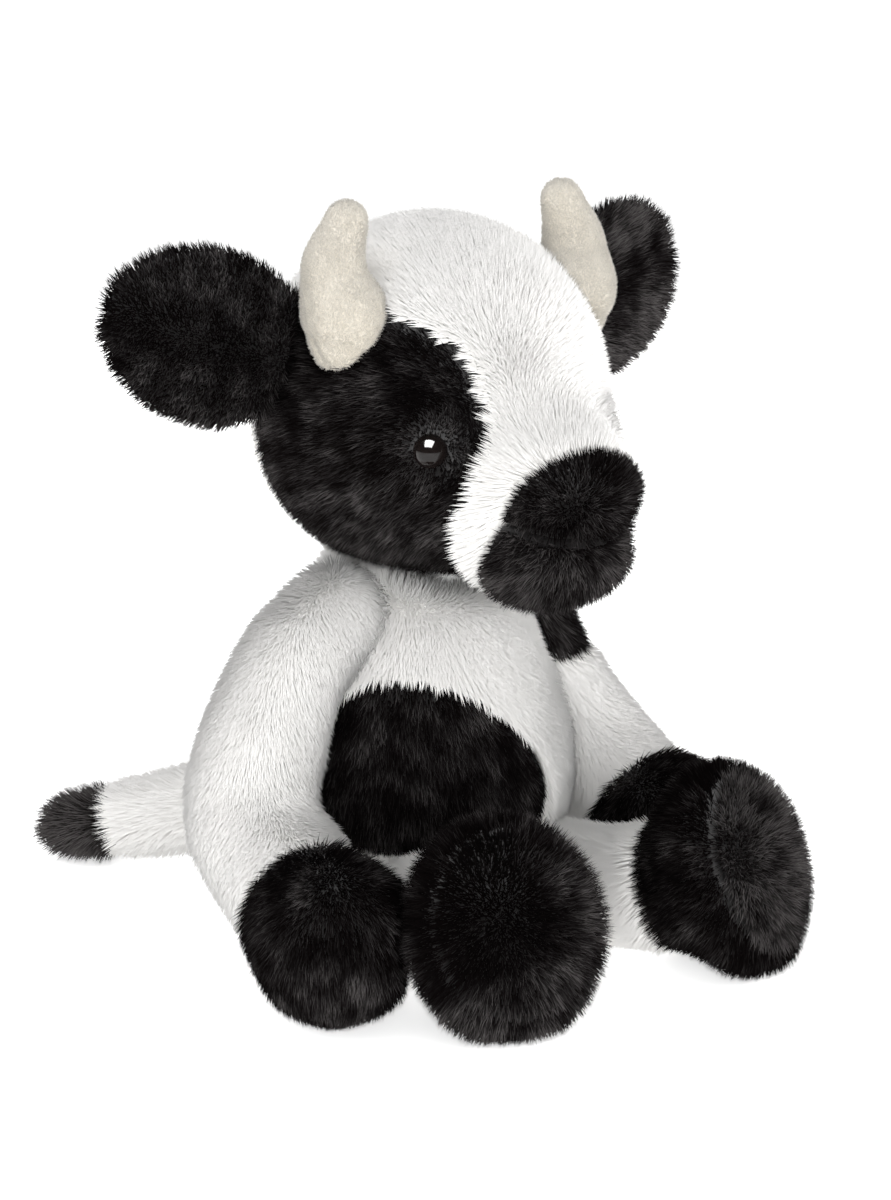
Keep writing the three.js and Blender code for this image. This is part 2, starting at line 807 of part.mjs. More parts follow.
function earSlab(side, faces) {
  const { seat, along, across, front } = earFrame(side);
  const pointAt = (step, cross, facePart) => {
    const share = step / earLengthSteps;
    const spread = (2 * cross) / earCrossSteps - 1;
    const depth = earEdge + (earThickness - earEdge) * (1 - spread ** 2) * (1 - share ** 3);
    const forward = earCup * spread ** 2 * (1 - share ** 2) + facePart(depth);
    return seat
      .clone()
      .addScaledVector(along, share * (earLength + earSink) - earSink)
      .addScaledVector(across, (spread * earWidthAt(share)) / 2)
      .addScaledVector(front, forward);
  };
  const points = [];
  for (const facePart of faces) {
    for (let step = 0; step <= earLengthSteps; step += 1) {
      for (let cross = 0; cross <= earCrossSteps; cross += 1) {
        points.push(pointAt(step, cross, facePart));
      }
    }
  }
  const row = earCrossSteps + 1;
  const layer = row * (earLengthSteps + 1);
  const quads = [];
  const quad = (a, b, c, d) => quads.push(a, b, c, a, c, d);
  for (let step = 0; step < earLengthSteps; step += 1) {
    for (let cross = 0; cross < earCrossSteps; cross += 1) {
      const at = step * row + cross;
      quad(at, at + 1, at + row + 1, at + row);
      quad(layer + at, layer + at + row, layer + at + row + 1, layer + at + 1);
    }
    const low = step * row;
    const high = low + earCrossSteps;
    quad(low, low + row, layer + low + row, layer + low);
    quad(high, layer + high, layer + high + row, high + row);
  }
  const tip = earLengthSteps * row;
  for (let cross = 0; cross < earCrossSteps; cross += 1) {
    quad(cross, layer + cross, layer + cross + 1, cross + 1);
    quad(tip + cross, tip + cross + 1, layer + tip + cross + 1, layer + tip + cross);
  }
  const slab = indexed(points, quads);
  if (side > 0) {
    slab.index.array.reverse();
  }
  return slab;
}

function buildEar(side, name) {
  const { seat } = earFrame(side);
  const frontFaces = [(depth) => depth / 2, () => seamGap / 2];
  const backFaces = [() => -seamGap / 2, (depth) => -depth / 2];
  const swept = turnsOf(headClear, seat, ahead.clone().multiplyScalar(-side), earTurns);
  const free = (slab) => withoutAll(solidOf(slab), swept);
  addPiece(`${name}_front`, free(earSlab(side, frontFaces)), colours.black);
  addPiece(`${name}_back`, free(earSlab(side, backFaces)), colours.black);
}

// Legs

function legHeading(side) {
  return heading(side < 0 ? legSplays.right : legSplays.left, side);
}

function legForm(side) {
  const along = legHeading(side);
  const hip = vector(side * hipSpread, hipSetback, legHeight);
  const thigh = hip.clone().addScaledVector(along, legReach * legRouteShares.thigh);
  const ankle = hip.clone().addScaledVector(along, legReach * legRouteShares.ankle);
  ankle.setZ(ankleHeight);
  const foot = hip.clone().addScaledVector(along, legReach).setZ(footHeight);
  return {
    route: [hip, thigh, ankle, foot],
    across: along.clone().cross(up),
    narrowing: footNarrowing,
    widths: [legWidths.hip, legWidths.thigh, legWidths.ankle, legWidths.foot],
    startCap: legWidths.hip / 2,
    endCap: footCap,
  };
}

function legCrease(side) {
  return vector(side * hipSpread, creaseSetback, creaseHeight);
}

// What a leg turns about as it lifts. The body beside it seems to turn the other way.
function legAxis(side) {
  return legHeading(side).cross(up);
}

function buildLeg(side, name) {
  const form = legForm(side);
  const outer = solidOf(limbForm(form, 0, limbSteps, limbSides)).subtract(underFloor);
  const hollow = solidOf(limbForm(form, -pileWall, coreSteps, coreLimbSides)).subtract(underHollow);
  const core = solidOf(limbForm(form, -pileWall - fillGap, coreSteps, coreLimbSides));
  const body = turnsOf(torsoClear, legCrease(side), legAxis(side).negate(), legLifts);
  const shell = withoutAll(outer.subtract(hollow), body);
  const ankle = (gap) => acrossLimb(form, ankleShare, -gap);
  const route = new THREE.CatmullRomCurve3(form.route);
  const tangent = route.getTangentAt(1);
  const soleSeam = (gap) =>
    beyond(route.getPointAt(1).addScaledVector(tangent, footCap - soleInset - gap), tangent);
  addPiece(`${name}_sleeve`, shell.subtract(ankle(seamGap)), colours.white);
  addPiece(`${name}_foot`, shell.intersect(ankle(0)).subtract(soleSeam(seamGap)), colours.black);
  addPiece(`${name}_sole`, shell.intersect(soleSeam(0)), colours.black);
  addPiece(
    `${name}_stuffing`,
    withoutAll(core.subtract(underFilling), body),
    colours.filling,
  );
}

// Arms

const shoulderHeight = torsoHeight - shoulderDrop;

function armForm(side) {
  const shoulder = vector(side * shoulderSpread, shoulderSetback, shoulderHeight);
  const lengths = vector(armReach, armReach, armReach);
  const shares = side < 0 ? rightArmShares : leftArmShares;
  return {
    route: shares.map((share) => shoulder.clone().add(placed(share, lengths, side))),
    widths: [
      armWidths.shoulder,
      armWidths.upper,
      armWidths.elbow,
      armWidths.fore,
      armWidths.wrist,
      armWidths.paw,
    ],
    startCap: armWidths.shoulder / 2,
    endCap: pawCap,
    across: outwards,
    narrowing: 0,
  };
}

// Flat faces, one against each part of the leg, where the paw rests beside it
function pawFaces(side) {
  const turns = side < 0 ? pawFaceTurns.right : pawFaceTurns.left;
  const form = legForm(side);
  const leg = solidOf(limbForm(form, 0, limbSteps, limbSides)).subtract(underFloor);
  const ankle = acrossLimb(form, ankleShare, 0);
  const parts = { sleeve: leg.subtract(ankle), foot: leg.intersect(ankle) };
  return Object.keys(parts).map((part) => {
    const direction = heading(turns[part], side);
    const reach = farthest(parts[part], direction) + pawGap;
    return beyond(direction.clone().multiplyScalar(reach), direction.negate());
  });
}

function buildArm(side, name) {
  const form = armForm(side);
  const pivot = vector(side * armPivotSpread, shoulderSetback, shoulderHeight + armPivotRise);
  const turn = ahead.clone().multiplyScalar(-side);
  const paw = (gap) => acrossLimb(form, wristShare, -gap);
  const neighbours = [
    ...turnsOf(torsoClear, pivot, turn, armLifts),
    ...turnsOf(geometryOf(headRoom), pivot, turn, armLifts),
    ...pawFaces(side).map((face) => face.intersect(paw(seamGap))),
  ];
  const outer = solidOf(limbForm(form, 0, armSteps, limbSides)).subtract(underFloor);
  const hollow = solidOf(limbForm(form, -pileWall, armCoreSteps, coreLimbSides));
  const core = solidOf(limbForm(form, -pileWall - fillGap, armCoreSteps, coreLimbSides));
  const shell = withoutAll(outer.subtract(hollow.subtract(underHollow)), neighbours);
  const sleeve = shell.subtract(paw(seamGap));
  if (side > 0) {
    const hem = shoulderHeight - shoulderHemDrop;
    const lower = (gap) => beyond(vector(0, 0, hem + gap), vector(0, 0, -1));
    addPiece(`${name}_shoulder`, sleeve.subtract(lower(seamGap)), colours.black);
    addPiece(`${name}_sleeve`, sleeve.intersect(lower(0)), colours.white);
  } else {
    addPiece(`${name}_sleeve`, sleeve, colours.white);
  }
  addPiece(`${name}_paw`, shell.intersect(paw(0)), colours.black);
  addPiece(
    `${name}_stuffing`,
    withoutAll(core.subtract(underFilling), neighbours),
    colours.filling,
  );
}

// Tail

const tailSeat = skinPoint(torso, vector(0, 1, -tailRootDrop));

function buildTail() {
  const lengths = vector(tailReach, tailReach, tailReach);
  const form = {
    route: tailRouteShares.map((shares) => tailSeat.clone().add(placed(shares, lengths))),
    widths: [tailWidths.root, tailWidths.middle, tailWidths.tip],
    startCap: tailWidths.root / 2,
    endCap: tailCap,
    across: outwards,
    narrowing: 0,
  };
  const outer = solidOf(limbForm(form, 0, tailSteps, tailSides)).subtract(underFloor);
  const whole = withoutAll(outer, turnsOf(torsoClear, tailSeat, up, tailTurns));
  const tip = (gap) => acrossLimb(form, tipShare, -gap);
  addPiece('tail_root', whole.subtract(tip(seamGap)), colours.white);
  addPiece('tail_tip', whole.intersect(tip(0)), colours.black);
}

buildTorso();
buildTorsoFilling();
buildHead();
buildEye(-1, 'eye_right');
buildEye(1, 'eye_left');
buildHorn(-1, 'horn_right');
buildHorn(1, 'horn_left');
buildEar(-1, 'ear_right');
buildEar(1, 'ear_left');
buildArm(-1, 'arm_right');
buildArm(1, 'arm_left');
buildLeg(-1, 'leg_right');
buildLeg(1, 'leg_left');
buildTail();

export default pieces;
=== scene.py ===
"""Dresses the seated plush cow: pile cloth panels with their fur, horns, safety eyes and filling,
on a pale floor. Sizes are in metres, +Z is up, the cow faces -Y and its own right side is -X.
"""

import json
import math

import bmesh
import bpy
import numpy as np
from bpy.props import FloatProperty, FloatVectorProperty, IntProperty, PointerProperty
from bpy.types import Operator, Panel, PropertyGroup
from mathutils import Matrix, Vector
from mathutils.bvhtree import BVHTree

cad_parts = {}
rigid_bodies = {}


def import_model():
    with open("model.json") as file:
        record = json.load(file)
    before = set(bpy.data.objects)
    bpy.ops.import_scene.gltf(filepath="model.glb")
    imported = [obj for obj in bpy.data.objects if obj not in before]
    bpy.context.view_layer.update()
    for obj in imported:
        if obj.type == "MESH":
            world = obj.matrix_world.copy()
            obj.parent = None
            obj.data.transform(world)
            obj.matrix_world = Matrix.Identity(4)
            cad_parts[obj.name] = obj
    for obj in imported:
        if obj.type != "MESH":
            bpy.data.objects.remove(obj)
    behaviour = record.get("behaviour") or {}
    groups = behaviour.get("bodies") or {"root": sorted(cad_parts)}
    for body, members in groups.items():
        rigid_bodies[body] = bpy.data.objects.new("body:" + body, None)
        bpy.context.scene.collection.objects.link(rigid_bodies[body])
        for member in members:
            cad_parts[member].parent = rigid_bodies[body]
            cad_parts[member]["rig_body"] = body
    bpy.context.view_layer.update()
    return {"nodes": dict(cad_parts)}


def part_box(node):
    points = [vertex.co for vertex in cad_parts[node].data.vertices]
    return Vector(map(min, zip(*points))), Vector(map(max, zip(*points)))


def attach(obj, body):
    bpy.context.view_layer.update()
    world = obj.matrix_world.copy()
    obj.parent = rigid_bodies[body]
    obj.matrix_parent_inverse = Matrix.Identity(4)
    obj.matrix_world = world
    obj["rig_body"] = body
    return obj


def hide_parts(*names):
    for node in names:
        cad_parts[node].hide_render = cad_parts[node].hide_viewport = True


bl_info = {
    "name": "Plush Cow Dresser",
    "version": (1, 0, 0),
    "blender": (4, 5, 0),
    "location": "View3D > Sidebar > Plush Cow",
    "description": "Sews the pile, horns, eyes and filling of a seated plush cow",
    "category": "Object",
}

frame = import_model()
MM = 0.001
DOWN = Vector((0, 0, -1))
MOST_STRANDS = 65000  # keeps one piece under 200,000 triangles
SEWN = 3 * MM  # a piece of the same body that is this near is sewn on
TWIN_COVER = 0.7  # share of the pile in a seam between two pieces of one cloth
SHORTEST = 0.7  # share of the pile's length that stays in front of another body
SHORTEST_BELOW = 0.45  # the same above the floor
FACES_DOWN = -0.2  # upward part of a normal from which the floor can be in the way
LIES_FLAT = -0.75  # the same for a face that the floor presses flat
RESTS = 1.2 * MM  # how far above the floor such a face still lies on it


# Sizes and colours that a user would change


def length_property(name, about, value, low, high):
    return FloatProperty(
        name=name, description=about, default=value, min=low, max=high, subtype="DISTANCE"
    )


def share_property(name, about, value):
    return FloatProperty(
        name=name, description=about, default=value, min=0, max=1, subtype="FACTOR"
    )


def angle_property(name, about, degrees):
    return FloatProperty(
        name=name, description=about, default=math.radians(degrees), subtype="ANGLE"
    )


def power_property(name, about, watts):
    return FloatProperty(name=name, description=about, default=watts, min=0, unit="POWER")


def amount_property(name, about, value):
    return FloatProperty(name=name, description=about, default=value, min=0)


def colour_property(name, about, value):
    return FloatVectorProperty(
        name=name, description=about, default=value, size=3, min=0, max=1, subtype="COLOR"
    )


class PileSettings(PropertyGroup):
    """The pile cloth of body, head and limbs"""

    length: length_property(
        "Pile length", "Length of the longest strands", 7.6 * MM, 1 * MM, 30 * MM
    )
    strand_width: length_property(
        "Strand width", "Width of a lock of fibres at its root", 0.48 * MM, 0.05 * MM, 3 * MM
    )
    density: amount_property("Density", "Strands per square metre of cloth", 2.3e6)
    lock_size: length_property(
        "Lock size", "Width of the locks that strands gather into", 2.4 * MM, 1 * MM, 40 * MM
    )
    lock_pull: share_property(
        "Lock pull", "How far strand tips are drawn to the middle of their lock", 0.55
    )
    lean: angle_property("Lean", "Angle between strands and the way straight out of the cloth", 45)
    backing_depth: length_property(
        "Backing depth", "How far the backing lies under the solid form", 2.5 * MM, 0, 5 * MM
    )
    # Painted shade: the white pile's roots are a darker, warmer white than its tips.
    white_root_shade: colour_property(
        "White root", "Colour of the white pile at its roots", (0.85, 0.835, 0.81)
    )
    white_tip: colour_property(
        "White tip", "Colour of the white pile at its tips", (0.90, 0.89, 0.872)
    )
    black_root: colour_property(
        "Black root", "Colour of the black pile at its roots", (0.0032, 0.0025, 0.0025)
    )
    # Painted highlight: the light tip colour of the black pile stands for glints of sheen on
    # single strands.
    black_tip_glint: colour_property(
        "Black tip", "Colour of the black pile at its tips", (0.095, 0.088, 0.087)
    )
    seed: IntProperty(name="Seed", description="Start of the random numbers", default=7, min=0)


class HornSettings(PropertyGroup):
    """The short-pile cloth of the horns"""

    nap: length_property("Nap length", "Length of the short fibres", 1.5 * MM, 0.2 * MM, 5 * MM)
    nap_density: amount_property("Nap density", "Fibres per square metre of cloth", 5.5e6)
    seam_depth: length_property(
        "Seam depth", "How deep the sewn seam pulls into the horn", 0.6 * MM, 0, 4 * MM
    )
    cream: colour_property("Cream", "Colour of the horns", (0.715, 0.672, 0.59))


class EyeSettings(PropertyGroup):
    """The two-part safety eyes"""

    roughness: share_property("Roughness", "Roughness of the polished dome", 0.06)


class StageSettings(PropertyGroup):
    """Floor, lights and camera"""

    floor_colour: colour_property("Floor", "Colour of the floor", (0.92, 0.92, 0.915))
    glow: amount_property("Floor glow", "Light that the floor gives off itself", 0.66)
    sky: amount_property("Room light", "Brightness of the even light from all round", 0.60)
    key_power: power_property("Key light", "Power of the light above and in front", 0.6)
    fill_power: power_property("Fill light", "Power of the large light at the right", 7.5)
    front_power: power_property("Front light", "Power of the large light by the camera", 11.6)
    top_power: power_property("Top light", "Power of the large light straight above", 1.4)
    left_power: power_property("Left light", "Power of the large light at the left", 7.65)
    back_power: power_property("Back light", "Power of the large light behind", 9.0)
    catch_power: power_property("Catch light", "Power of the light that the eyes mirror", 110)
    azimuth: angle_property("Camera azimuth", "Turn of the camera from straight in front", -38.6)
    elevation: angle_property("Camera elevation", "Angle of the camera over the floor", 13.3)
    distance: length_property(
        "Camera distance", "From the camera to what it looks at", 1.363, 0.1, 10
    )
    lens: amount_property("Lens", "Focal length on a 36 mm sensor, in millimetres", 113.6)


# Node trees


class Wire:
    """One output of a node, so that node maths reads as an expression."""

    def __init__(self, sheet, socket):
        self.sheet = sheet
        self.socket = socket

    def maths(self, operation, first, second=0.0):
        return self.sheet.node("ShaderNodeMath", {"operation": operation}, {0: first, 1: second})

    def __add__(self, other):
        return self.maths("ADD", self, other)

    def __sub__(self, other):
        return self.maths("SUBTRACT", self, other)

    def __rsub__(self, other):
        return self.maths("SUBTRACT", other, self)

    def __mul__(self, other):
        return self.maths("MULTIPLY", self, other)

    def __truediv__(self, other):
        return self.maths("DIVIDE", self, other)

    def __rtruediv__(self, other):
        return self.maths("DIVIDE", other, self)

    def power(self, exponent):
        return self.maths("POWER", self, exponent)

    def clamped(self):
        return self.sheet.node("ShaderNodeClamp", {}, {0: self})


class Sheet:
    """A node tree that is filled by calls."""

    def __init__(self, tree):
        self.tree = tree
        tree.nodes.clear()

    def node(self, kind, settings, values, output=0):
        made = self.tree.nodes.new(kind)
        for name, value in settings.items():
            setattr(made, name, value)
        for key, value in values.items():
            if isinstance(value, Wire):
                self.tree.links.new(value.socket, made.inputs[key])
            else:
                made.inputs[key].default_value = value
        return Wire(self, made.outputs[output]) if made.outputs else None

    def beside(self, wire, output):
        """Another output of the node that a wire comes from."""
        return Wire(self, wire.socket.node.outputs[output])

    def blend(self, share, first, second):
        """Two colours mixed by a share."""
        values = {0: share, 6: first, 7: second}
        return self.node("ShaderNodeMix", {"data_type": "RGBA"}, values, 2)

    def vectors(self, operation, first, second=None, scale=None):
        values = {0: first}
        if second is not None:
            values[1] = second
        if scale is not None:
            values["Scale"] = scale
        return self.node("ShaderNodeVectorMath", {"operation": operation}, values)

    def scaled(self, vector, share):
        return self.vectors("SCALE", vector, scale=share)

    def summed(self, first, *others):
        for other in others:
            first = self.vectors("ADD", first, other)
        return first


def opaque(colour):
    return (*colour, 1.0)


def new_material(name, viewport):
    material = bpy.data.materials.new(name)
    material.use_nodes = True
    material.diffuse_color = opaque(viewport)
    return material, Sheet(material.node_tree)


def finish_material(sheet, values):
    """Joins a Principled shader with these values to the output."""
    shader = sheet.node("ShaderNodeBsdfPrincipled", {}, values)
    sheet.node("ShaderNodeOutputMaterial", {}, {0: shader})


def pile_material(name, root, tip, share, values):
    """Fur: its colour runs from root to tip by a share worked out from height and tone, which
    carries painted sheen and shade; darker roots are painted shade and light tips painted glints.
    """
    material, sheet = new_material(name, tip)
    along = sheet.node("ShaderNodeAttribute", {"attribute_name": "along"}, {}, "Fac")
    tone = sheet.node("ShaderNodeAttribute", {"attribute_name": "tone"}, {}, "Fac")
    colour = sheet.blend(share(along, tone).clamped(), opaque(root), opaque(tip))
    finish_material(sheet, {"Base Color": colour, **values})
    return material


def white_pile():
    pile = bpy.context.scene.plush_pile
    return pile_material(
        "pile_white",
        pile.white_root_shade,
        pile.white_tip,
        # Painted shade: the white pile darkens towards its roots; the tone adds random lighter and
        # darker patches.
        lambda along, tone: along * 0.55 + tone * 0.35 + 0.2,
        {"Roughness": 0.8, "Sheen Weight": 0.2, "Sheen Roughness": 0.5, "Specular IOR Level": 0.2},
    )


def black_pile():
    pile = bpy.context.scene.plush_pile
    return pile_material(
        "pile_black",
        pile.black_root,
        pile.black_tip_glint,
        # Painted glints: only strands of a high tone grow light towards their tips, so the tone's
        # painted sheen and shade also lighten or darken the pile.
        lambda along, tone: along.power(1.5) * tone.power(3.0) * 1.7,
        {"Roughness": 0.8, "Specular IOR Level": 0.0},
    )


def nap_finish():
    cream = bpy.context.scene.plush_horns.cream
    return pile_material(
        "horn_nap",
        # The nap is darker towards its roots as painted shade among the fibres, and varies by the
        # tone's random grain.
        tuple(0.62 * part for part in cream),
        cream,
        lambda along, tone: along * 0.7 + tone * 0.6 - 0.1,
        {"Roughness": 0.9, "Sheen Weight": 0.3, "Specular IOR Level": 0.2},
    )


def mottled(name, viewport, noises, shade, dark, light, finish, bump=None):
    """A material between two colours, by a share worked out from noises of a scale, detail and
    distortion. The first noise can also roughen its surface, by a strength and depth."""
    material, sheet = new_material(name, viewport)
    place = sheet.node("ShaderNodeTexCoord", {}, {}, "Object")
    fields = []
    for scale, detail, distortion in noises:
        values = {"Vector": place, "Scale": scale, "Detail": detail, "Distortion": distortion}
        fields.append(sheet.node("ShaderNodeTexNoise", {}, values))
    values = {"Base Color": sheet.blend(shade(*fields), opaque(dark), opaque(light)), **finish}
    if bump:
        strength, depth = bump
        raised = {"Strength": strength, "Distance": depth, "Height": fields[0]}
        values["Normal"] = sheet.node("ShaderNodeBump", {}, raised)
    finish_material(sheet, values)
    return material


def plain(noise):
    """One noise as it is."""
    return noise


def backing_material(name, colour):
    """The woven ground that the pile stands in."""
    return mottled(
        name,
        colour,
        ((900.0, 3.0, 0.0), (60.0, 2.0, 0.0)),
        lambda knit, patch: (knit * 0.6 + patch * 0.4).clamped(),
        tuple(0.8 * part for part in colour),
        colour,
        {"Roughness": 0.95},
        (0.5, 0.4 * MM),
    )


def suede_material(name, colour):
    """Short cream pile, brushed this way and that."""
    return mottled(
        name,
        colour,
        ((1500.0, 4.0, 0.0), (140.0, 3.0, 0.0)),
        lambda grain, brush: (grain * 0.5 + brush * 0.9 - 0.2).clamped(),
        tuple(part * share for part, share in zip(colour, (0.80, 0.77, 0.72))),
        colour,
        {"Roughness": 0.9, "Sheen Weight": 0.35, "Sheen Roughness": 0.4},
        (0.6, 0.3 * MM),
    )


def eye_material(roughness):
    """Polished black plastic with faint handling marks."""
    material, sheet = new_material("eye_gloss", (0.01, 0.01, 0.01))
    place = sheet.node("ShaderNodeTexCoord", {}, {}, "Object")
    marks = sheet.node("ShaderNodeTexNoise", {}, {"Vector": place, "Scale": 700.0, "Detail": 5.0})
    finish_material(
        sheet,
        {
            "Base Color": sheet.blend(marks, (0.004, 0.003, 0.003, 1), (0.012, 0.009, 0.008, 1)),
            "Roughness": (marks * 0.10 + (roughness - 0.03)).clamped(),
            "Specular IOR Level": 0.3,
        },
    )
    return material


def washer_material():
    """Milky moulded plastic."""
    haze = ((300.0, 2.0, 0.0),)
    dark, light, seen = (0.70, 0.69, 0.65), (0.82, 0.81, 0.78), (0.75, 0.74, 0.70)
    return mottled("washer_plastic", seen, haze, plain, dark, light, {"Roughness": 0.45})


def fibre_material():
    """Loose white polyester filling."""
    tufts = ((180.0, 6.0, 1.5),)
    dark, light, seen = (0.70, 0.70, 0.69), (0.90, 0.90, 0.89), (0.85, 0.85, 0.84)
    finish, bump = {"Roughness": 1.0}, (0.8, 1 * MM)
    return mottled("filling_fibre", seen, tufts, plain, dark, light, finish, bump)


def pouch_material():
    """Plain woven cotton round the pellets."""
    material, sheet = new_material("pouch_weave", (0.68, 0.64, 0.55))
    threads = {"Vector": sheet.node("ShaderNodeTexCoord", {}, {}, "Object"), "Scale": 420.0}
    warp = sheet.node("ShaderNodeTexWave", {"bands_direction": "X"}, threads, 1)
    weft = sheet.node("ShaderNodeTexWave", {"bands_direction": "Y"}, threads, 1)
    weave = warp * weft
    colour = sheet.blend(weave, opaque((0.55, 0.51, 0.43)), opaque((0.72, 0.68, 0.59)))
    bump = sheet.node("ShaderNodeBump", {}, {"Strength": 0.6, "Distance": 0.0003, "Height": weave})
    finish_material(sheet, {"Base Color": colour, "Roughness": 0.9, "Normal": bump})
    return material


def floor_material(colour, glow):
    """Pale paper, lit a little from below as on a light table."""
    haze = ((4.0, 2.0, 0.0),)
    dark = tuple(0.97 * part for part in colour)
    finish = {"Roughness": 0.9, "Emission Color": opaque((1, 1, 1)), "Emission Strength": glow}
    return mottled("floor_paper", colour, haze, plain, dark, colour, finish)


def made_once(name, make):
    """A material by its name, made the first time."""
    return bpy.data.materials.get(name) or make()


# Meshes


def add_object(name, data):
    made = bpy.data.objects.new(name, data)
    bpy.context.scene.collection.objects.link(made)
    return made


def converted(obj, name):
    """The evaluated object as one plain mesh object. The old one goes."""
    bpy.context.view_layer.update()
    shape = obj.evaluated_get(bpy.context.evaluated_depsgraph_get())
    mesh = bpy.data.meshes.new_from_object(shape)
    mesh.name = name
    old = obj.data
    bpy.data.objects.remove(obj)
    bpy.data.meshes.remove(old)
    return add_object(name, mesh)


def read_vectors(rows, field):
    flat = np.empty(len(rows) * 3, np.float32)
    rows.foreach_get(field, flat)
    return flat.reshape(-1, 3).astype(float)


def read_points(mesh):
    return read_vectors(mesh.vertices, "co")


def write_points(mesh, points):
    mesh.vertices.foreach_set("co", points.astype(np.float32).ravel())
    mesh.update()


def read_normals(mesh):
    return read_vectors(mesh.vertex_normals, "vector")


def unit(vectors):
    length = np.linalg.norm(vectors, axis=1, keepdims=True)
    return vectors / np.maximum(length, 1e-9)


def neighbours_mean(mesh, values, passes):
    """Values at vertices, evened out along the edges."""
    edges = np.empty(len(mesh.edges) * 2, np.int32)
    mesh.edges.foreach_get("vertices", edges)
    first, second = edges.reshape(-1, 2).T
    count = np.bincount(edges, minlength=len(values)).astype(float)[:, None] + 1
    for _ in range(passes):
        total = values.copy()
        for axis in range(values.shape[1]):
            total[:, axis] += np.bincount(first, values[second, axis], len(values))
            total[:, axis] += np.bincount(second, values[first, axis], len(values))
        values = total / count
    return values


def store(mesh, name, kind, values):
    attribute = mesh.attributes.new(name, kind, "POINT")
    field = "value" if kind == "FLOAT" else "vector"
    attribute.data.foreach_set(field, np.ascontiguousarray(values, np.float32).ravel())


def remeshed(node, name, voxel, smoothing):
    """A smooth closed copy of a CAD node's loose triangles."""
    mesh = frame["nodes"][node].data.copy()
    mesh.materials.clear()
    work = bmesh.new()
    work.from_mesh(mesh)
    bmesh.ops.remove_doubles(work, verts=work.verts, dist=0.01 * MM)
    work.to_mesh(mesh)
    work.free()
    for attribute in [a for a in mesh.attributes if a.name.startswith("sharp")]:
        mesh.attributes.remove(attribute)
    copy = add_object(name, mesh)
    remesh = copy.modifiers.new("remesh", "REMESH")
    remesh.mode = "VOXEL"
    remesh.voxel_size = voxel
    remesh.use_smooth_shade = True
    smooth = copy.modifiers.new("smooth", "SMOOTH")
    smooth.factor = 0.5
    smooth.iterations = smoothing
    return converted(copy, name)


def solid_faces(nodes):
    """The faces of these CAD nodes as one tree for rays and distances, and each face's node."""
    corners = []
    faces = []
    owners = []
    for node in nodes:
        start = len(corners)
        mesh = frame["nodes"][node].data
        corners.extend(v.co[:] for v in mesh.vertices)
        for polygon in mesh.polygons:
            faces.append([start + index for index in polygon.vertices])
            owners.append(node)
    return BVHTree.FromPolygons(corners, faces), owners


class Surroundings:
    """Finds what lies in front of a node's skin: the CAD solids of all other nodes."""

    def __init__(self, node):
        self.tree, self.nodes = solid_faces(other for other in frame["nodes"] if other != node)

    def in_front(self, point, way, inset, reach):
        """Distance to the next solid and its node, or the reach and nothing."""
        start = Vector(point) - Vector(way) * inset
        _, _, index, distance = self.tree.ray_cast(start, Vector(way), reach + inset)
        if index is None:
            return reach, None
        return max(distance - inset, 0.0), self.nodes[index]


def outer_share(skin, node, inset, length, twin=None):
    """For each vertex: whether pile shows there, and how long it can be.
    The seam with the twin, a piece of the same cloth, carries some pile too."""
    body = frame["nodes"][node]["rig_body"]
    around = Surroundings(node)
    points = read_points(skin.data)
    normals = read_normals(skin.data)
    cover = np.ones(len(points))
    room = np.ones(len(points))
    for index, (point, way) in enumerate(zip(points, normals)):
        gap, met = around.in_front(point, way, inset, length)
        if met and met == twin and gap < SEWN:
            cover[index] = TWIN_COVER
        elif met and frame["nodes"][met]["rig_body"] == body and gap < SEWN:
            cover[index] = 0
        elif met:
            room[index] = max(gap / length, SHORTEST)
        if way[2] < FACES_DOWN:
            above = max(point[2], 0.0) / -way[2]
            room[index] = min(room[index], max(above / length, SHORTEST_BELOW))
            if above < RESTS and way[2] < LIES_FLAT:
                cover[index] = 0
    return cover, room


# Pile: strands on a skin, by geometry nodes


def strand_object():
    """One lock of fibres: a three-sided spike of unit width and length."""
    found = bpy.data.objects.get("strand_pattern")
    if found:
        return found
    corners = [(-0.577, 0, 0), (0.289, 0.5, 0), (0.289, -0.5, 0), (0, 0, 1)]
    faces = [(0, 3, 1), (1, 3, 2), (2, 3, 0)]
    mesh = bpy.data.meshes.new("strand_pattern")
    mesh.from_pydata(corners, [], faces)
    mesh.polygons.foreach_set("use_smooth", [True] * len(faces))
    store(mesh, "along", "FLOAT", [corner[2] for corner in corners])
    store(mesh, "side", "FLOAT", [2 * corner[1] for corner in corners])
    pattern = add_object("strand_pattern", mesh)
    pattern.hide_render = True
    pattern.hide_viewport = True
    return pattern


PILE_NUMBERS = (
    "Density", "Length", "Width", "Lean", "Lock size", "Lock pull", "Scatter", "Swirl", "Softness"
)
PILE_INPUTS = {name: "NodeSocketFloat" for name in PILE_NUMBERS}
PILE_INPUTS.update(Seed="NodeSocketInt", Strand="NodeSocketObject", Finish="NodeSocketMaterial")
SWIRL_SCALE = 45.0  # swirls of the pile per metre
TONE_SCALE = 110.0  # lighter and darker patches per metre
CLEAR_OF_FLOOR = 0.15 * MM


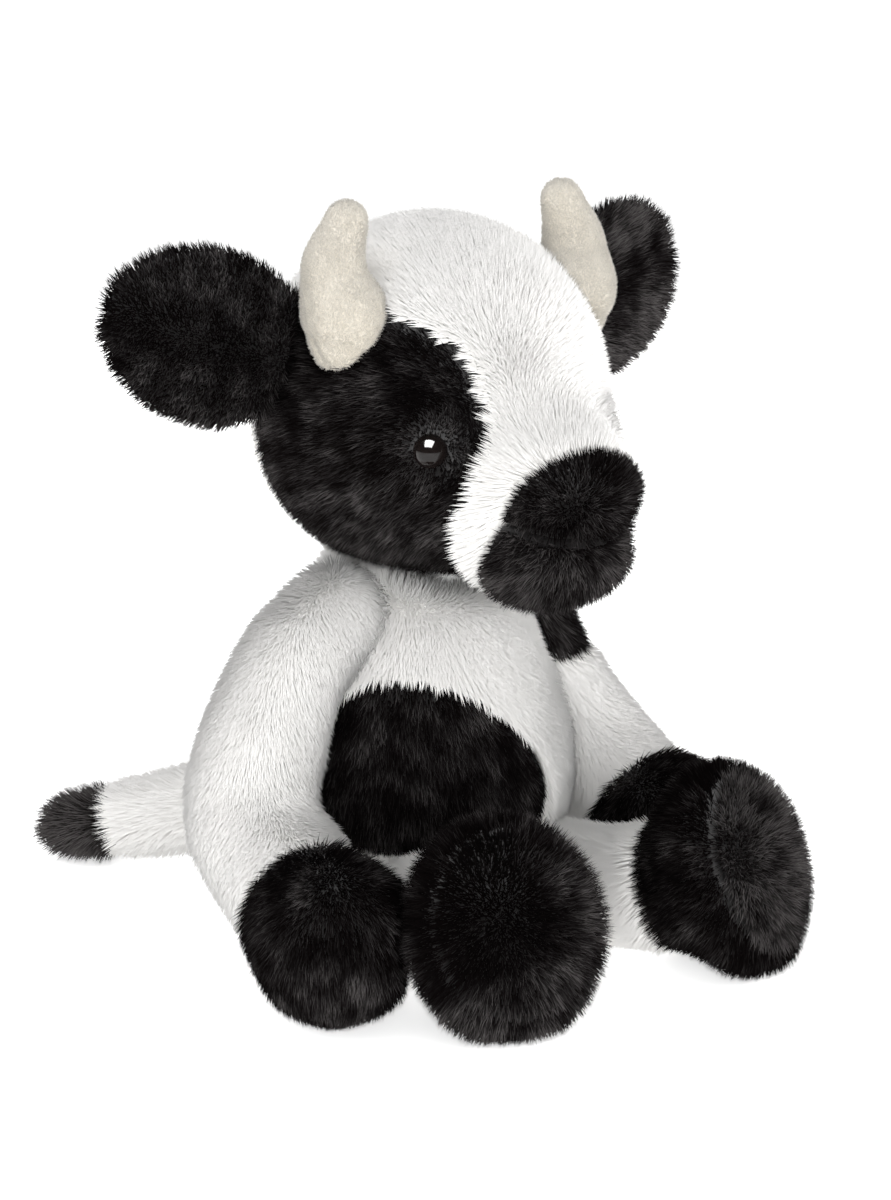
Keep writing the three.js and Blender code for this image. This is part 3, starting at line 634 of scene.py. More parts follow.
def pile_tree():
    """Geometry nodes that stand strands on a skin, gather them into locks and lay them over."""
    found = bpy.data.node_groups.get("pile")
    if found:
        return found
    tree = bpy.data.node_groups.new("pile", "GeometryNodeTree")
    tree.is_modifier = True
    face = tree.interface
    face.new_socket("Geometry", in_out="INPUT", socket_type="NodeSocketGeometry")
    for name, kind in PILE_INPUTS.items():
        face.new_socket(name, in_out="INPUT", socket_type=kind)
    face.new_socket("Geometry", in_out="OUTPUT", socket_type="NodeSocketGeometry")
    sheet = Sheet(tree)
    given = sheet.node("NodeGroupInput", {}, {}, "Geometry")

    def asked(name):
        return sheet.beside(given, name)

    def stored(name, kind="FLOAT"):
        return sheet.node("GeometryNodeInputNamedAttribute", {"data_type": kind}, {"Name": name})

    def chance(low, high, seed_shift, kind="FLOAT"):
        values = {"Seed": asked("Seed") + float(seed_shift)}
        if kind == "FLOAT":
            values.update({2: low, 3: high})
            return sheet.node("FunctionNodeRandomValue", {"data_type": kind}, values, 1)
        values.update({0: (low,) * 3, 1: (high,) * 3})
        return sheet.node("FunctionNodeRandomValue", {"data_type": kind}, values, 0)

    points = sheet.node(
        "GeometryNodeDistributePointsOnFaces",
        {"distribute_method": "RANDOM"},
        {"Mesh": given, "Density": asked("Density") * stored("cover"), "Seed": asked("Seed")},
    )
    place = sheet.node("GeometryNodeInputPosition", {}, {})
    normal = stored("flow", "FLOAT_VECTOR")
    lay = stored("lay", "FLOAT_VECTOR")
    locks = {"Vector": place, "Scale": 1.0 / asked("Lock size"), "Randomness": 1.0}
    middle = sheet.node("ShaderNodeTexVoronoi", {}, locks, "Position")
    inward = sheet.vectors("SUBTRACT", middle, place)
    dot = {"operation": "DOT_PRODUCT"}
    rise = sheet.node("ShaderNodeVectorMath", dot, {0: inward, 1: normal}, 1)
    flat = sheet.vectors("SUBTRACT", inward, sheet.scaled(normal, rise))
    pull = asked("Lock pull") / asked("Length")
    noise = {"Vector": place, "Scale": SWIRL_SCALE, "Detail": 1.0}
    swirl = sheet.node("ShaderNodeTexNoise", {}, noise, "Color")
    swirl = sheet.vectors("SUBTRACT", swirl, (0.5, 0.5, 0.5))
    swirl = sheet.scaled(swirl, asked("Swirl"))
    upright = sheet.node("ShaderNodeMath", {"operation": "COSINE"}, {0: asked("Lean")})
    over = sheet.node("ShaderNodeMath", {"operation": "SINE"}, {0: asked("Lean")})
    loose = sheet.scaled(chance(-1.0, 1.0, 11, "FLOAT_VECTOR"), asked("Scatter"))
    way = sheet.summed(sheet.scaled(normal, upright), sheet.scaled(lay, over))
    way = sheet.summed(way, sheet.scaled(flat, pull), swirl, loose)
    turn = sheet.node(
        "FunctionNodeAxesToRotation",
        {"primary_axis": "Z", "secondary_axis": "X"},
        {0: way, 1: sheet.summed(normal, loose)},
    )
    tall = asked("Length") * stored("tall") * chance(0.72, 1.0, 23)
    wide = asked("Width") * chance(0.7, 1.2, 31)
    size = sheet.node("ShaderNodeCombineXYZ", {}, {0: wide, 1: wide, 2: tall})
    original = {"transform_space": "ORIGINAL"}
    pattern = {"Object": asked("Strand")}
    pattern = sheet.node("GeometryNodeObjectInfo", original, pattern, "Geometry")
    stand = {"Points": points, "Instance": pattern, "Rotation": turn, "Scale": size}
    strands = sheet.node("GeometryNodeInstanceOnPoints", {}, stand)
    noise = {"Vector": place, "Scale": TONE_SCALE, "Detail": 2.0}
    shade = sheet.node("ShaderNodeTexNoise", {}, noise)
    # The tone adds each piece's painted sheen and shade to the strands' random tone.
    tone = ((shade - 0.5) * 1.6 + chance(0.2, 0.8, 47) + stored("gain")).clamped()
    strands = sheet.node(
        "GeometryNodeStoreNamedAttribute",
        {"data_type": "FLOAT", "domain": "INSTANCE"},
        {"Geometry": strands, "Name": "tone", "Value": tone},
    )
    strands = sheet.node("GeometryNodeRealizeInstances", {}, {"Geometry": strands})
    split = sheet.node("ShaderNodeSeparateXYZ", {}, {0: place}, 2)
    lifted = sheet.node("ShaderNodeMath", {"operation": "MAXIMUM"}, {0: split, 1: CLEAR_OF_FLOOR})
    raised = {0: sheet.beside(split, 0), 1: sheet.beside(split, 1), 2: lifted}
    raised = sheet.node("ShaderNodeCombineXYZ", {}, raised)
    strands = sheet.node("GeometryNodeSetPosition", {}, {"Geometry": strands, "Position": raised})
    own = sheet.node("GeometryNodeInputNormal", {}, {})
    soft = sheet.scaled(normal, asked("Softness"))
    shown = sheet.summed(soft, sheet.scaled(own, 1.0 - asked("Softness")))
    strands = sheet.node(
        "GeometryNodeSetMeshNormal",
        {"mode": "FREE", "domain": "POINT"},
        {"Mesh": strands, "Custom Normal": shown},
    )
    across = stored("tone") * 0.92 + 0.04 + stored("side") * 0.02
    spot = sheet.node("ShaderNodeCombineXYZ", {}, {0: across, 1: stored("along") * 0.92 + 0.04})
    strands = sheet.node(
        "GeometryNodeStoreNamedAttribute",
        {"data_type": "FLOAT2", "domain": "CORNER"},
        {"Geometry": strands, "Name": "OFBake", "Value": spot},
    )
    finish = {"Geometry": strands, "Material": asked("Finish")}
    strands = sheet.node("GeometryNodeSetMaterial", {}, finish)
    sheet.node("NodeGroupOutput", {}, {0: strands})
    return tree


def grow(skin, name, values):
    """The pile on a skin, as one plain mesh."""
    carrier = add_object(name, skin.data.copy())
    modifier = carrier.modifiers.new("pile", "NODES")
    modifier.node_group = pile_tree()
    for item in modifier.node_group.interface.items_tree:
        if item.in_out == "INPUT" and item.name in values:
            modifier[item.identifier] = values[item.name]
    strands = converted(carrier, name)
    for attribute in ("flow", "lay", "cover", "gain", "tall", "side"):
        found = strands.data.attributes.get(attribute)
        if found:
            strands.data.attributes.remove(found)
    return strands


# Which way the pile lies

HEAD_NODES = ("head_panel", "eye_patch", "nose_panel", "chin_panel")


def node_middle(node):
    low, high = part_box(node)
    return (low + high) / 2


def distance_to(nodes, points):
    """How far each point is from the nearest of these CAD nodes."""
    tree, _ = solid_faces(nodes)
    return np.array([tree.find_nearest(Vector(point))[3] for point in points])


def lie_down(points):
    return np.tile((0.0, 0.0, -1.0), (len(points), 1))


def lie_along(start, end, drop=0.25):
    """Along a limb, from its root to its end, sinking a little."""
    way = (Vector(end) - Vector(start)).normalized() + DOWN * drop
    return lambda points: np.tile(tuple(way), (len(points), 1))


def lie_from(place, calm):
    """Outwards from a place, and upright close to it."""

    def lay(points):
        away = points - np.array(place)
        reach = np.linalg.norm(away, axis=1, keepdims=True)
        return away / np.maximum(reach, calm)

    return lay


def lie_over_ear(along, middle):
    """To the ear's tip, and out to its rims."""

    def lay(points):
        away = points - np.array(middle)
        across = away - np.outer(away @ np.array(along), along)
        spread = np.linalg.norm(across, axis=1, keepdims=True)
        return np.array(along) * 0.7 + across / (spread + 0.005) * 0.8

    return lay


def lie_from_neck(points):
    """Down the torso, and upright close to the head."""
    fades, most = 0.014, 0.9
    near = np.clip(1.3 - distance_to(HEAD_NODES, points) / fades, 0, most)[:, None]
    return lie_down(points) * (1 - near)


def swollen_beside(*grooves):
    """How far a piece stands out from its form in the grooves beside other pieces.
    Each groove is the pieces beside it, the most that it adds, and its width."""

    def added(points):
        total = np.zeros(len(points))
        for nodes, most, width in grooves:
            total += most * np.exp(-((distance_to(nodes, points) / width) ** 2))
        return total

    return added


def trimmed_beside(*grooves):
    """Share of the pile's length, which each groove makes larger or smaller."""
    added = swollen_beside(*grooves)
    return lambda points: 1 + added(points)


def both(first, second):
    """Two trims on one piece."""
    return lambda points: first(points) * second(points)


def lie_back(points):
    """From the muzzle over brow and cheeks, down behind, and away from both eyes."""
    low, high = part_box("head_panel")
    middle, half = (low.y + high.y) / 2, (high.y - low.y) / 2
    behind = np.clip((points[:, 1] - middle) / half, 0, 1)
    lay = np.stack([0 * behind, 1 - 0.8 * behind, -0.2 - 1.3 * behind], 1)
    for eye, outwards in (("eye_right", 1), ("eye_left", 0.35)):
        away = points - np.array(node_middle(eye))
        near = np.clip(1.6 - np.linalg.norm(away, axis=1) / 0.012, 0, 1)[:, None]
        lay = lay * (1 - near) + outwards * unit(away) * near
    return lay


def lie_from_crease(other):
    """Outwards over one pad of the muzzle, and upright beside the crease."""
    low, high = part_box("nose_panel")
    front = np.array((0.0, low.y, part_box("chin_panel")[1].z))
    rim = read_points(frame["nodes"]["nose_panel"].data)
    for neighbour in ("chin_panel", "head_panel"):
        rim = rim[distance_to((neighbour,), rim) < 2 * MM]
    notch = rim[rim[:, 0] < 0].mean(0)

    def lay(points):
        away = points - front
        calm = np.clip(distance_to((other,), points) / 0.008, 0.1, 1)
        calm *= np.clip(np.linalg.norm(away, axis=1) / 0.028, 0.2, 1)
        calm *= np.clip(np.linalg.norm(points - notch, axis=1) / 0.012 - 0.5, -0.3, 1)
        return unit(away) * calm[:, None]

    return lay


def sunk_crease(other):
    """How far a pad of the muzzle stands out from its form: it sinks beside the crease."""
    sunk = swollen_beside(((other,), -4.8 * MM, 7 * MM))
    return lambda points: sunk(points) + 1.2 * MM


def sole_rim(seam, out):
    """A foot's form stands out a little along the seam of its sole."""

    def shape(points):
        along = (points - np.array(seam)) @ np.array(out)
        return 2.6 * MM * np.exp(-((along / (6 * MM)) ** 2))

    return shape


def trimmed_round_eyes(points):
    """Share of the pile's length: short beside the right eye and above the neck, long in front
    of the left eye."""
    tuft = node_middle("eye_left") + Vector((-0.0062, -0.0078, 0))
    right = np.linalg.norm(points - np.array(node_middle("eye_right")), axis=1)
    left = np.linalg.norm(points - np.array(tuft), axis=1)
    trimmed = np.clip((right - 0.004) / 0.012, 0.35, 1) + 0.75 * np.exp(-((left / (7 * MM)) ** 2))
    neck = distance_to(("chest_and_belly", "back_panel"), points)
    return trimmed * (1 - 0.6 * np.exp(-((neck / (12 * MM)) ** 2)))


# Sewing: one call makes a panel's backing and its pile

SKIN_SMOOTHING = 6  # passes
NORMAL_PASSES = 10
MAP_PASSES = 2
HIDDEN_WEIGHT = 0.02  # of a normal that carries no pile, where normals are evened out
LEAST_ACROSS = 0.35  # how far at least the pile's way is along the cloth before it is stretched


class Kind:
    """One colour of pile cloth."""

    def __init__(self, pile, backing, width, pull, **values):
        self.pile = pile
        self.backing = backing
        self.width = width
        self.pull = pull
        self.values = values


WHITE_BACKING = (0.86, 0.85, 0.825)
BLACK_BACKING = (0.006, 0.005, 0.005)
KINDS = {
    "white": Kind(white_pile, WHITE_BACKING, 1.5, 0.6, Scatter=0.15, Swirl=0.30, Softness=0.84),
    "black": Kind(black_pile, BLACK_BACKING, 1.0, 1.0, Scatter=0.26, Swirl=0.35, Softness=0.5),
}


def even(tone):
    """The same lighter or darker tone all over a piece: painted sheen where lighter, painted shade
    where darker.
    """
    return lambda points: np.full(len(points), float(tone))


def shaded(place, width, inside, outside, along=None):
    """Painted sheen and shade: a tone that changes with the distance from a place, or from a line
    through it.
    """

    def gain(points):
        away = points - np.array(place)
        if along is not None:
            away = away - np.outer(away @ np.array(along), along)
        share = np.exp(-((np.linalg.norm(away, axis=1) / width) ** 2))
        return outside + (inside - outside) * share

    return gain


def covered_area(mesh, cover):
    """Area of the faces that carry pile."""
    area = np.empty(len(mesh.polygons), np.float32)
    start = np.empty(len(mesh.polygons), np.int32)
    corner = np.empty(len(mesh.loops), np.int32)
    mesh.polygons.foreach_get("area", area)
    mesh.polygons.foreach_get("loop_start", start)
    mesh.loops.foreach_get("vertex_index", corner)
    count = np.diff(np.append(start, len(corner)))
    return float((area * np.add.reduceat(cover[corner], start) / count).sum())


def furred(skin, node, name, maps, finish, ground, values):
    """Grows pile on a skin by its maps. Both take the node's place."""
    for key, field in maps.items():
        store(skin.data, key, "FLOAT" if field.ndim == 1 else "FLOAT_VECTOR", field)
    most = MOST_STRANDS / covered_area(skin.data, maps["cover"])
    values["Density"] = min(values["Density"], most)
    values["Seed"] = bpy.context.scene.plush_pile.seed
    values["Strand"] = strand_object()
    values["Finish"] = finish
    fur = grow(skin, name, values)
    for key in maps:
        skin.data.attributes.remove(skin.data.attributes[key])
    skin.data.materials.append(ground)
    for piece in (skin, fur):
        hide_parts(node)
        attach(piece, frame["nodes"][node]["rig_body"])


def sew(
    node,
    colour,
    lay,
    length=1.0,
    lean=1.0,
    depth=1.0,
    voxel=2.3 * MM,
    inset=1.2 * MM,
    tone=even(0),
    trim=None,
    shape=None,
    twin=None,
):
    """Replaces a cloth node by its backing and its pile. Length, lean and depth are shares of the
    usual ones, and lay, tone, trim and shape are functions of points on the skin. The tone is
    painted sheen and shade on the pile."""
    pile = bpy.context.scene.plush_pile
    kind = KINDS[colour]
    length *= pile.length
    skin = remeshed(node, f"{node}_cloth", voxel, SKIN_SMOOTHING)
    cover, room = outer_share(skin, node, inset, length, twin)
    points = read_points(skin.data)
    normals = read_normals(skin.data) * (cover[:, None] + HIDDEN_WEIGHT)
    normals = unit(neighbours_mean(skin.data, normals, NORMAL_PASSES))
    soft = neighbours_mean(skin.data, (cover * room)[:, None], MAP_PASSES)
    points -= read_normals(skin.data) * soft * pile.backing_depth * depth
    if shape:
        points += read_normals(skin.data) * (shape(points) * soft[:, 0])[:, None]
    points[:, 2] = np.maximum(points[:, 2], 0.0)
    write_points(skin.data, points)
    way = lay(points)
    flat = way - normals * (way * normals).sum(1, keepdims=True)
    share = np.linalg.norm(flat, axis=1) / np.maximum(np.linalg.norm(way, axis=1), 1e-6)
    if trim:
        room = room * trim(points)
    maps = {
        "flow": normals,
        "lay": flat / np.maximum(share, LEAST_ACROSS)[:, None],
        "cover": cover,
        "gain": tone(points),
        "tall": neighbours_mean(skin.data, room[:, None], MAP_PASSES)[:, 0],
    }
    finish = made_once(f"pile_{colour}", kind.pile)
    backing = f"backing_{colour}"
    ground = made_once(backing, lambda: backing_material(backing, kind.backing))
    values = {
        "Density": pile.density,
        "Length": length,
        "Width": pile.strand_width * kind.width,
        "Lean": pile.lean * lean,
        "Lock size": pile.lock_size,
        "Lock pull": pile.lock_pull * kind.pull,
        **kind.values,
    }
    furred(skin, node, f"{node}_pile", maps, finish, ground, values)


class PLUSH_OT_torso(Operator):
    """Sews the belly, back, seat and belly patch"""

    bl_idname = "plush.torso"
    bl_label = "Torso"

    def execute(self, context):
        arms = ("arm_right_sleeve", "arm_left_sleeve")
        groove = trimmed_beside((arms, 0.4, 6 * MM), (HEAD_NODES, 0.4, 8 * MM))
        swell = swollen_beside((arms, 2 * MM, 8 * MM), (HEAD_NODES, 7 * MM, 15 * MM))
        for panel, twin in (("chest_and_belly", "back_panel"), ("back_panel", "chest_and_belly")):
            sew(panel, "white", lie_from_neck, trim=groove, shape=swell, twin=twin)
        sew("seat_panel", "white", lie_down)
        rim = trimmed_beside((("chest_and_belly",), -0.5, 4 * MM))
        # Painted shade darkens the belly patch all over.
        sew("belly_patch", "black", lie_down, lean=1.4, tone=even(-0.1), trim=rim)
        return {"FINISHED"}


class PLUSH_OT_head(Operator):
    """Sews the face, eye patch and muzzle"""

    bl_idname = "plush.head"
    bl_label = "Head"

    def execute(self, context):
        sew("head_panel", "white", lie_back, trim=trimmed_round_eyes)
        # Painted sheen on the eye patch below the right eye, and painted shade elsewhere on it.
        cheek = node_middle("eye_right") + Vector((-0.01, 0.015, -0.032))
        tone = shaded(cheek, 24 * MM, 0.1, -0.08)
        rim = trimmed_beside((("head_panel",), -0.5, 4 * MM))
        sew("eye_patch", "black", lie_back, trim=both(trimmed_round_eyes, rim), tone=tone)
        for pad, other in (("nose_panel", "chin_panel"), ("chin_panel", "nose_panel")):
            lay, shape = lie_from_crease(other), sunk_crease(other)
            # Painted sheen lightens the chin all over; painted shade darkens the nose a touch.
            tone = even(-0.02 if pad == "nose_panel" else 0.16)
            sew(pad, "black", lay, shape=shape, tone=tone, trim=rim, voxel=1.8 * MM)
        return {"FINISHED"}


class PLUSH_OT_ears(Operator):
    """Sews both cloths of each ear"""

    bl_idname = "plush.ears"
    bl_label = "Ears"

    def execute(self, context):
        for side, sign in (("right", -1), ("left", 1)):
            along = (sign * 0.93, 0.13, 0.34)
            for face in ("front", "back"):
                node = f"ear_{side}_{face}"
                lay = lie_over_ear(along, node_middle(node))
                # Painted shade down the middle fold of each ear and painted sheen towards its
                # rims, much lighter on the left ear.
                rim = 0.3 if side == "left" else 0.06
                tone = shaded(node_middle(node), 9 * MM, -0.14, rim, along)
                thin = {"length": 0.85, "depth": 0.2, "voxel": 1.1 * MM, "inset": 0.3 * MM}
                sew(node, "black", lay, tone=tone, **thin)
        return {"FINISHED"}


class PLUSH_OT_arms(Operator):
    """Sews the sleeves and paws"""

    bl_idname = "plush.arms"
    bl_label = "Arms"

    def execute(self, context):
        for side in ("right", "left"):
            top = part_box(f"arm_{side}_sleeve")[1]
            wrist = node_middle(f"arm_{side}_paw")
            lay = lie_along((wrist.x * 0.6, wrist.y * 0.4, top.z), wrist)
            torso = ("chest_and_belly", "back_panel")
            groove = trimmed_beside((torso, 0.4, 6 * MM))
            swell = swollen_beside((torso, 2 * MM, 8 * MM))
            sew(f"arm_{side}_sleeve", "white", lay, trim=groove, shape=swell)
            # Painted highlight on the paw round a place low at its front, and painted shade
            # elsewhere on it.
            shine = wrist + Vector((-0.006, -0.012, -0.012))
            sew(f"arm_{side}_paw", "black", lay, tone=shaded(shine, 14 * MM, 0.14, -0.1))
            if side == "left":
                sew("arm_left_shoulder", "black", lay)
        return {"FINISHED"}


class PLUSH_OT_legs(Operator):
    """Sews the leg sleeves, feet and soles"""

    bl_idname = "plush.legs"
    bl_label = "Legs"

    def execute(self, context):
        for side in ("right", "left"):
            sleeve, sole = (node_middle(f"leg_{side}_{part}") for part in ("sleeve", "sole"))
            out = (sole - sleeve).normalized()
            seam = sole - out * 4 * MM
            front = sole + out * 12 * MM + Vector((0, 0, 0.012))
            rim = sole_rim(seam, out)
            sew(f"leg_{side}_sleeve", "white", lie_along(sole, sleeve, 0.8))
            # Painted shade and sheen: the left foot is darker and its sole lighter; the right foot
            # and sole darken round a place above the sole towards the cow's right, and lighten
            # away from it.
            painted_tones = (even(-0.16), even(0.2))
            if side == "right":
                painted_tones = (shaded(sole + Vector((-0.018, 0, 0.014)), 40 * MM, -0.6, 0.5),) * 2
            for part, tone in zip(("foot", "sole"), painted_tones):
                sew(f"leg_{side}_{part}", "black", lie_from(front, 0.05), shape=rim, tone=tone)
        return {"FINISHED"}


class PLUSH_OT_tail(Operator):
    """Sews the tail and its tip"""

    bl_idname = "plush.tail"
    bl_label = "Tail"

    def execute(self, context):
        lay = lie_along(node_middle("tail_root"), node_middle("tail_tip"), 0)
        sew("tail_root", "white", lay, length=1.3, lean=0.8, depth=0.2)
        # Painted sheen lightens the tail tip all over.
        sew("tail_tip", "black", lay, length=1.4, lean=0.8, depth=0.2, tone=even(0.36))
        return {"FINISHED"}


def stitched_horn(skin, way, depth):
    """Places of a horn's points with the seam up its outer side and the tuck above its root."""
    steps = 23  # levels that the horn's bent axis is taken at
    seam_width, lip_width, lip_place, lip_share = 1.0 * MM, 1.1 * MM, 2.2 * MM, 0.45
    tuck_width, tuck_level, tuck_share = 2.2 * MM, 0.17, 1.2
    tuck_slope = 0.3 * np.array((0.78, -0.62))
    points = read_points(skin.data)
    normals = read_normals(skin.data)
    low, high = points[:, 2].min(), points[:, 2].max()
    levels = np.linspace(low, high, steps + 1)
    slot = np.clip(((points[:, 2] - low) / (high - low) * steps).round().astype(int), 0, steps)
    count = np.maximum(np.bincount(slot, minlength=steps + 1), 1)
    axis = [
        np.interp(points[:, 2], levels, np.bincount(slot, points[:, side], steps + 1) / count)
        for side in (0, 1)
    ]
    from_axis = points[:, :2] - np.stack(axis, 1)
    beside = np.abs(from_axis @ np.array((-way[1], way[0])))
    outer = from_axis @ np.array(way) > 0
    seam = np.exp(-((beside / seam_width) ** 2))
    seam -= lip_share * np.exp(-(((beside - lip_place) / lip_width) ** 2))
    rise = points[:, 2] - (low + tuck_level * (high - low)) + from_axis @ tuck_slope
    tuck = np.exp(-((rise / tuck_width) ** 2))
    inwards = depth * (seam * outer) + tuck_share * depth * tuck
    return points - normals * inwards[:, None]


class PLUSH_OT_horns(Operator):
    """Sews the two horns of short cream pile"""

    bl_idname = "plush.horns"
    bl_label = "Horns"

    def execute(self, context):
        horn = context.scene.plush_horns
        ground = made_once("horn_suede", lambda: suede_material("horn_suede", horn.cream))
        finish = made_once("horn_nap", nap_finish)
        for side, sign in (("right", -1), ("left", 1)):
            node = f"horn_{side}"
            skin = remeshed(node, f"{node}_cloth", 0.75 * MM, 45)
            sewn = stitched_horn(skin, (sign * 0.78, 0.62), horn.seam_depth)
            cover, room = outer_share(skin, node, 0.5 * MM, horn.nap)
            write_points(skin.data, sewn)
            normals = unit(neighbours_mean(skin.data, read_normals(skin.data), MAP_PASSES))
            up = np.tile((0.0, 0.0, 1.0), (len(normals), 1))
            lay = up - normals * (up * normals).sum(1, keepdims=True)
            gain = even(0)(sewn)
            maps = {"flow": normals, "lay": lay, "cover": cover, "gain": gain, "tall": room}
            values = {
                "Density": horn.nap_density,
                "Length": horn.nap,
                "Width": 0.32 * MM,
                "Lean": math.radians(50),
                "Lock size": 1.6 * MM,
                "Lock pull": 0.4,
                "Scatter": 0.7,
                "Swirl": 0.8,
                "Softness": 0.45,
            }
            name, slot = f"{node}_nap", "cream_suede"
            furred(skin, node, name, maps, finish, ground, values)
        return {"FINISHED"}


def round_body(name, profile, axis, place, segments=40):
    """A closed body turned from a profile of (radius, height) about an axis."""
    work = bmesh.new()
    turn = axis.to_track_quat("Z", "Y").to_matrix().to_4x4()
    rows = []
    for radius, height in profile:
        turns = [2 * math.pi * step / segments for step in range(segments if radius else 1)]
        ring = [(radius * math.cos(angle), radius * math.sin(angle), height) for angle in turns]
        rows.append([work.verts.new(corner) for corner in ring])
    for low, high in zip(rows, rows[1:]):
        for step in range(segments):
            after = (step + 1) % segments
            corners = [low[step % len(low)], low[after % len(low)]]
            corners += [high[after % len(high)], high[step % len(high)]]
            corners = list(dict.fromkeys(corners))
            if len(corners) > 2:
                work.faces.new(corners)
    bmesh.ops.recalc_face_normals(work, faces=work.faces)
    mesh = bpy.data.meshes.new(name)
    work.to_mesh(mesh)
    work.free()
    mesh.transform(Matrix.Translation(place) @ turn)
    mesh.polygons.foreach_set("use_smooth", [True] * len(mesh.polygons))
    return add_object(name, mesh)


def eye_axis(node, middle):
    """The line that an eye's stem and dome are turned about, pointing out of the head."""
    points = read_points(frame["nodes"][node].data)
    spread = points - points.mean(0)
    sizes, ways = np.linalg.eigh(spread.T @ spread)
    odd = 0 if sizes[1] - sizes[0] > sizes[2] - sizes[1] else 2
    axis = Vector(ways[:, odd])
    if axis.dot(Vector(points.mean(0)) - middle) < 0:
        axis.negate()
    return axis, points


class PLUSH_OT_eyes(Operator):
    """Sets the glossy domes with their stems, and finishes the washers"""

    bl_idname = "plush.eyes"
    bl_label = "Eyes"

    def execute(self, context):
        finish = made_once("eye_gloss", lambda: eye_material(context.scene.plush_eyes.roughness))
        plastic = made_once("washer_plastic", washer_material)
        middle = node_middle("head_stuffing")
        for side in ("right", "left"):
            node = f"eye_{side}"
            axis, points = eye_axis(node, middle)
            centre = Vector(points.mean(0))
            heights = (points - np.array(centre)) @ np.array(axis)
            across = points - np.array(centre) - heights[:, None] * np.array(axis)
            outs = np.linalg.norm(across, axis=1)
            low, high = heights.min(), heights.max()
            radius = outs.max()
            rim = heights[outs > radius * 0.99].mean()
            stem = outs[heights < low + 0.5 * MM].max()
            bevel, flange = 0.3 * MM, 0.5 * MM
            profile = [(0, low), (stem - bevel, low), (stem, low + bevel), (stem, rim - flange)]
            profile += [(radius - flange, rim - 0.4 * MM), (radius, rim)]
            rings = 14
            for step in range(1, rings):
                lean = math.pi / 2 * step / rings
                profile.append((radius * math.cos(lean), rim + (high - rim) * math.sin(lean)))
            profile.append((0, high))
            dome = round_body(f"{node}_dome", profile, axis, centre)
            dome.data.materials.append(finish)
            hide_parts(node)
            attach(dome, "head")
            washer = frame["nodes"][f"{node}_washer"]
            washer.data.materials.clear()
            washer.data.materials.append(plastic)
        return {"FINISHED"}


class PLUSH_OT_filling(Operator):
    """Puts in the fibre filling and the pellet pouch"""

    bl_idname = "plush.filling"
    bl_label = "Filling"

    def execute(self, context):
        fibre = made_once("filling_fibre", fibre_material)
        weave = made_once("pouch_weave", pouch_material)
        for node in sorted(frame["nodes"]):
            if node.endswith("_stuffing") or node == "pellet_pouch":
                fill = remeshed(node, f"{node}_fill", 2.5 * MM, 2)
                pouch = node == "pellet_pouch"
                fill.data.materials.append(weave if pouch else fibre)
                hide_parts(node)
                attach(fill, frame["nodes"][node]["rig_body"])
        return {"FINISHED"}


def soft_light(name, place, target, size, power, mirrored=False):
    lamp = bpy.data.lights.new(name, "AREA")
    lamp.shape = "SQUARE"
    lamp.size = size
    lamp.energy = power
    made = add_object(name, lamp)
    made.location = place
    made.rotation_mode = "QUATERNION"
    made.rotation_quaternion = (Vector(place) - target).to_track_quat("Z", "Y")
    made.visible_glossy = mirrored
    return made


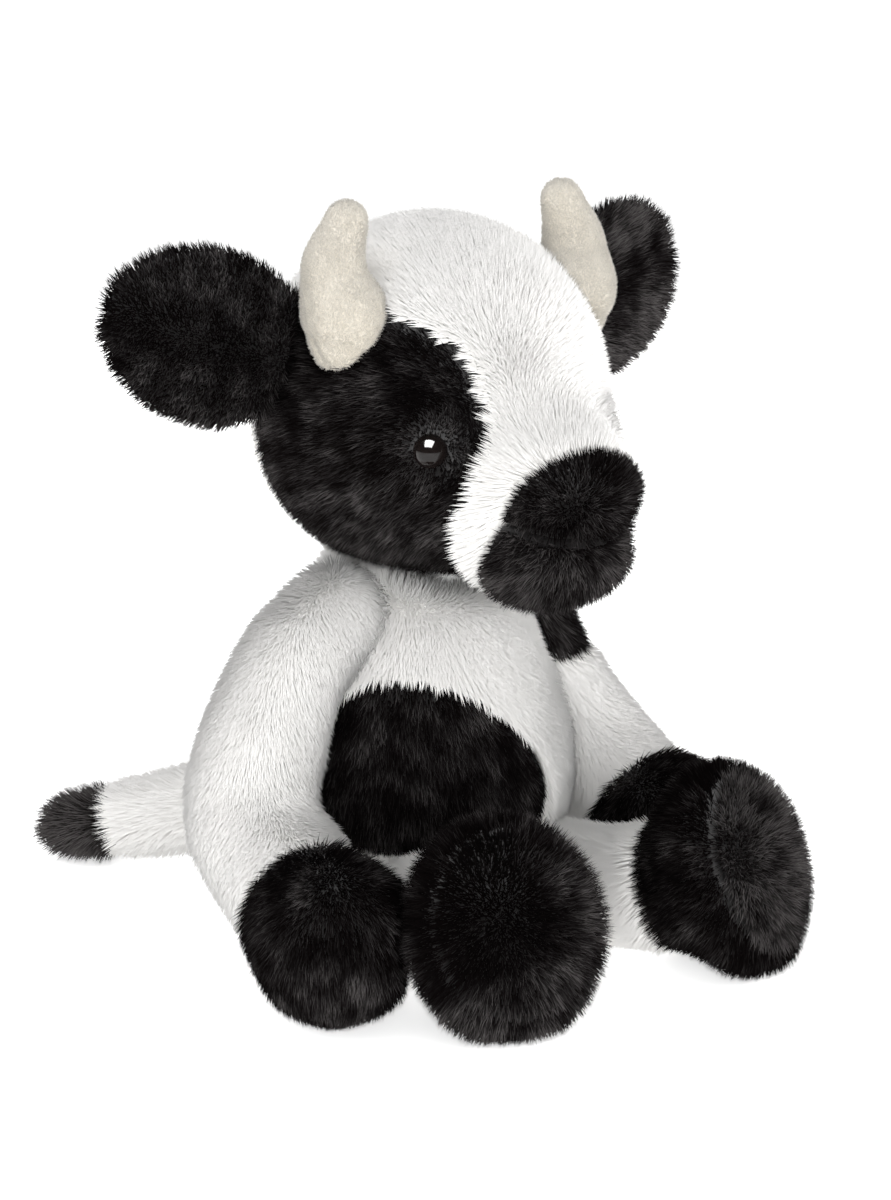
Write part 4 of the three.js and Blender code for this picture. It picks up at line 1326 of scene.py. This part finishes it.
class PLUSH_OT_stage(Operator):
    """Sets the floor, the soft lights and the camera"""

    bl_idname = "plush.stage"
    bl_label = "Stage"

    def execute(self, context):
        stage = context.scene.plush_stage
        mesh = bpy.data.meshes.new("floor")
        reach = 200.0
        corners = [(-reach, -reach, 0), (reach, -reach, 0), (reach, reach, 0), (-reach, reach, 0)]
        mesh.from_pydata(corners, [], [(0, 1, 2, 3)])
        floor = add_object("floor", mesh)
        floor.data.materials.append(floor_material(stage.floor_colour, stage.glow))
        target = Vector((8.1 * MM, -14.5 * MM, 119.8 * MM))
        turn, lift = stage.azimuth, stage.elevation
        level = Vector((math.sin(turn), -math.cos(turn), 0))
        back = level * math.cos(lift) + Vector((0, 0, math.sin(lift)))
        lens = bpy.data.cameras.new("camera")
        lens.lens = stage.lens
        lens.sensor_width = 36
        lens.clip_start = 0.05
        lens.clip_end = 400
        camera = add_object("camera", lens)
        camera.location = target + back * stage.distance
        camera.rotation_mode = "QUATERNION"
        camera.rotation_quaternion = back.to_track_quat("Z", "Y")
        context.scene.camera = camera
        right = Vector((-level.y, level.x, 0))
        above = Vector((0, 0, 1))
        overhead = target + level * 0.42 - right * 0.12 + above * 0.95
        at_right = target + right * 1.1 + above * 0.3 - level * 0.05
        straight_above = target + above * 1.3 - level * 0.3
        at_left = target - right * 1.2 + above * 0.4
        behind = target - level * 1.3 + above * 0.45
        soft_light("key", overhead, target, 0.35, stage.key_power)
        soft_light("fill", at_right, target, 0.8, stage.fill_power)
        soft_light("front", camera.location - above * 0.12, target, 0.9, stage.front_power)
        soft_light("top", straight_above, target, 1.0, stage.top_power)
        soft_light("left", at_left, target, 0.9, stage.left_power)
        soft_light("back", behind, target, 0.9, stage.back_power)
        nearer = overhead.lerp(target, 0.05)
        catch = soft_light("catch", nearer, target, 0.9, stage.catch_power, mirrored=True)
        catch.visible_diffuse = False
        context.scene.view_settings.view_transform = "Standard"
        world = bpy.data.worlds.new("studio")
        world.use_nodes = True
        air = world.node_tree.nodes["Background"]
        air.inputs["Color"].default_value = (1.0, 1.0, 1.0, 1)
        air.inputs["Strength"].default_value = stage.sky
        context.scene.world = world
        world.cycles_visibility.glossy = False
        return {"FINISHED"}


class PLUSH_PT_sidebar(Panel):
    """Lists the steps that dress the cow"""

    bl_label = "Plush Cow"
    bl_idname = "PLUSH_PT_sidebar"
    bl_space_type = "VIEW_3D"
    bl_region_type = "UI"
    bl_category = "Plush Cow"

    def draw(self, context):
        layout = self.layout
        for group in ("plush_pile", "plush_horns", "plush_eyes", "plush_stage"):
            settings = getattr(context.scene, group)
            box = layout.box()
            for name in settings.bl_rna.properties.keys():
                if name not in ("rna_type", "name"):
                    box.prop(settings, name)
        for operator in OPERATORS:
            layout.operator(operator.bl_idname)


OPERATORS = (
    PLUSH_OT_torso,
    PLUSH_OT_head,
    PLUSH_OT_ears,
    PLUSH_OT_arms,
    PLUSH_OT_legs,
    PLUSH_OT_tail,
    PLUSH_OT_horns,
    PLUSH_OT_eyes,
    PLUSH_OT_filling,
    PLUSH_OT_stage,
)
GROUPS = {
    "plush_pile": PileSettings,
    "plush_horns": HornSettings,
    "plush_eyes": EyeSettings,
    "plush_stage": StageSettings,
}


def register():
    for name, group in GROUPS.items():
        bpy.utils.register_class(group)
        setattr(bpy.types.Scene, name, PointerProperty(type=group))
    for operator in OPERATORS:
        bpy.utils.register_class(operator)
    bpy.utils.register_class(PLUSH_PT_sidebar)


def unregister():
    bpy.utils.unregister_class(PLUSH_PT_sidebar)
    for operator in reversed(OPERATORS):
        bpy.utils.unregister_class(operator)
    for name, group in GROUPS.items():
        delattr(bpy.types.Scene, name)
        bpy.utils.unregister_class(group)


def main():
    register()
    for operator in OPERATORS:
        name = operator.bl_idname.split(".")[1]
        getattr(bpy.ops.plush, name)()
    pattern = bpy.data.objects.get("strand_pattern")
    if pattern:
        bpy.data.objects.remove(pattern)


if __name__ == "__main__":
    main()
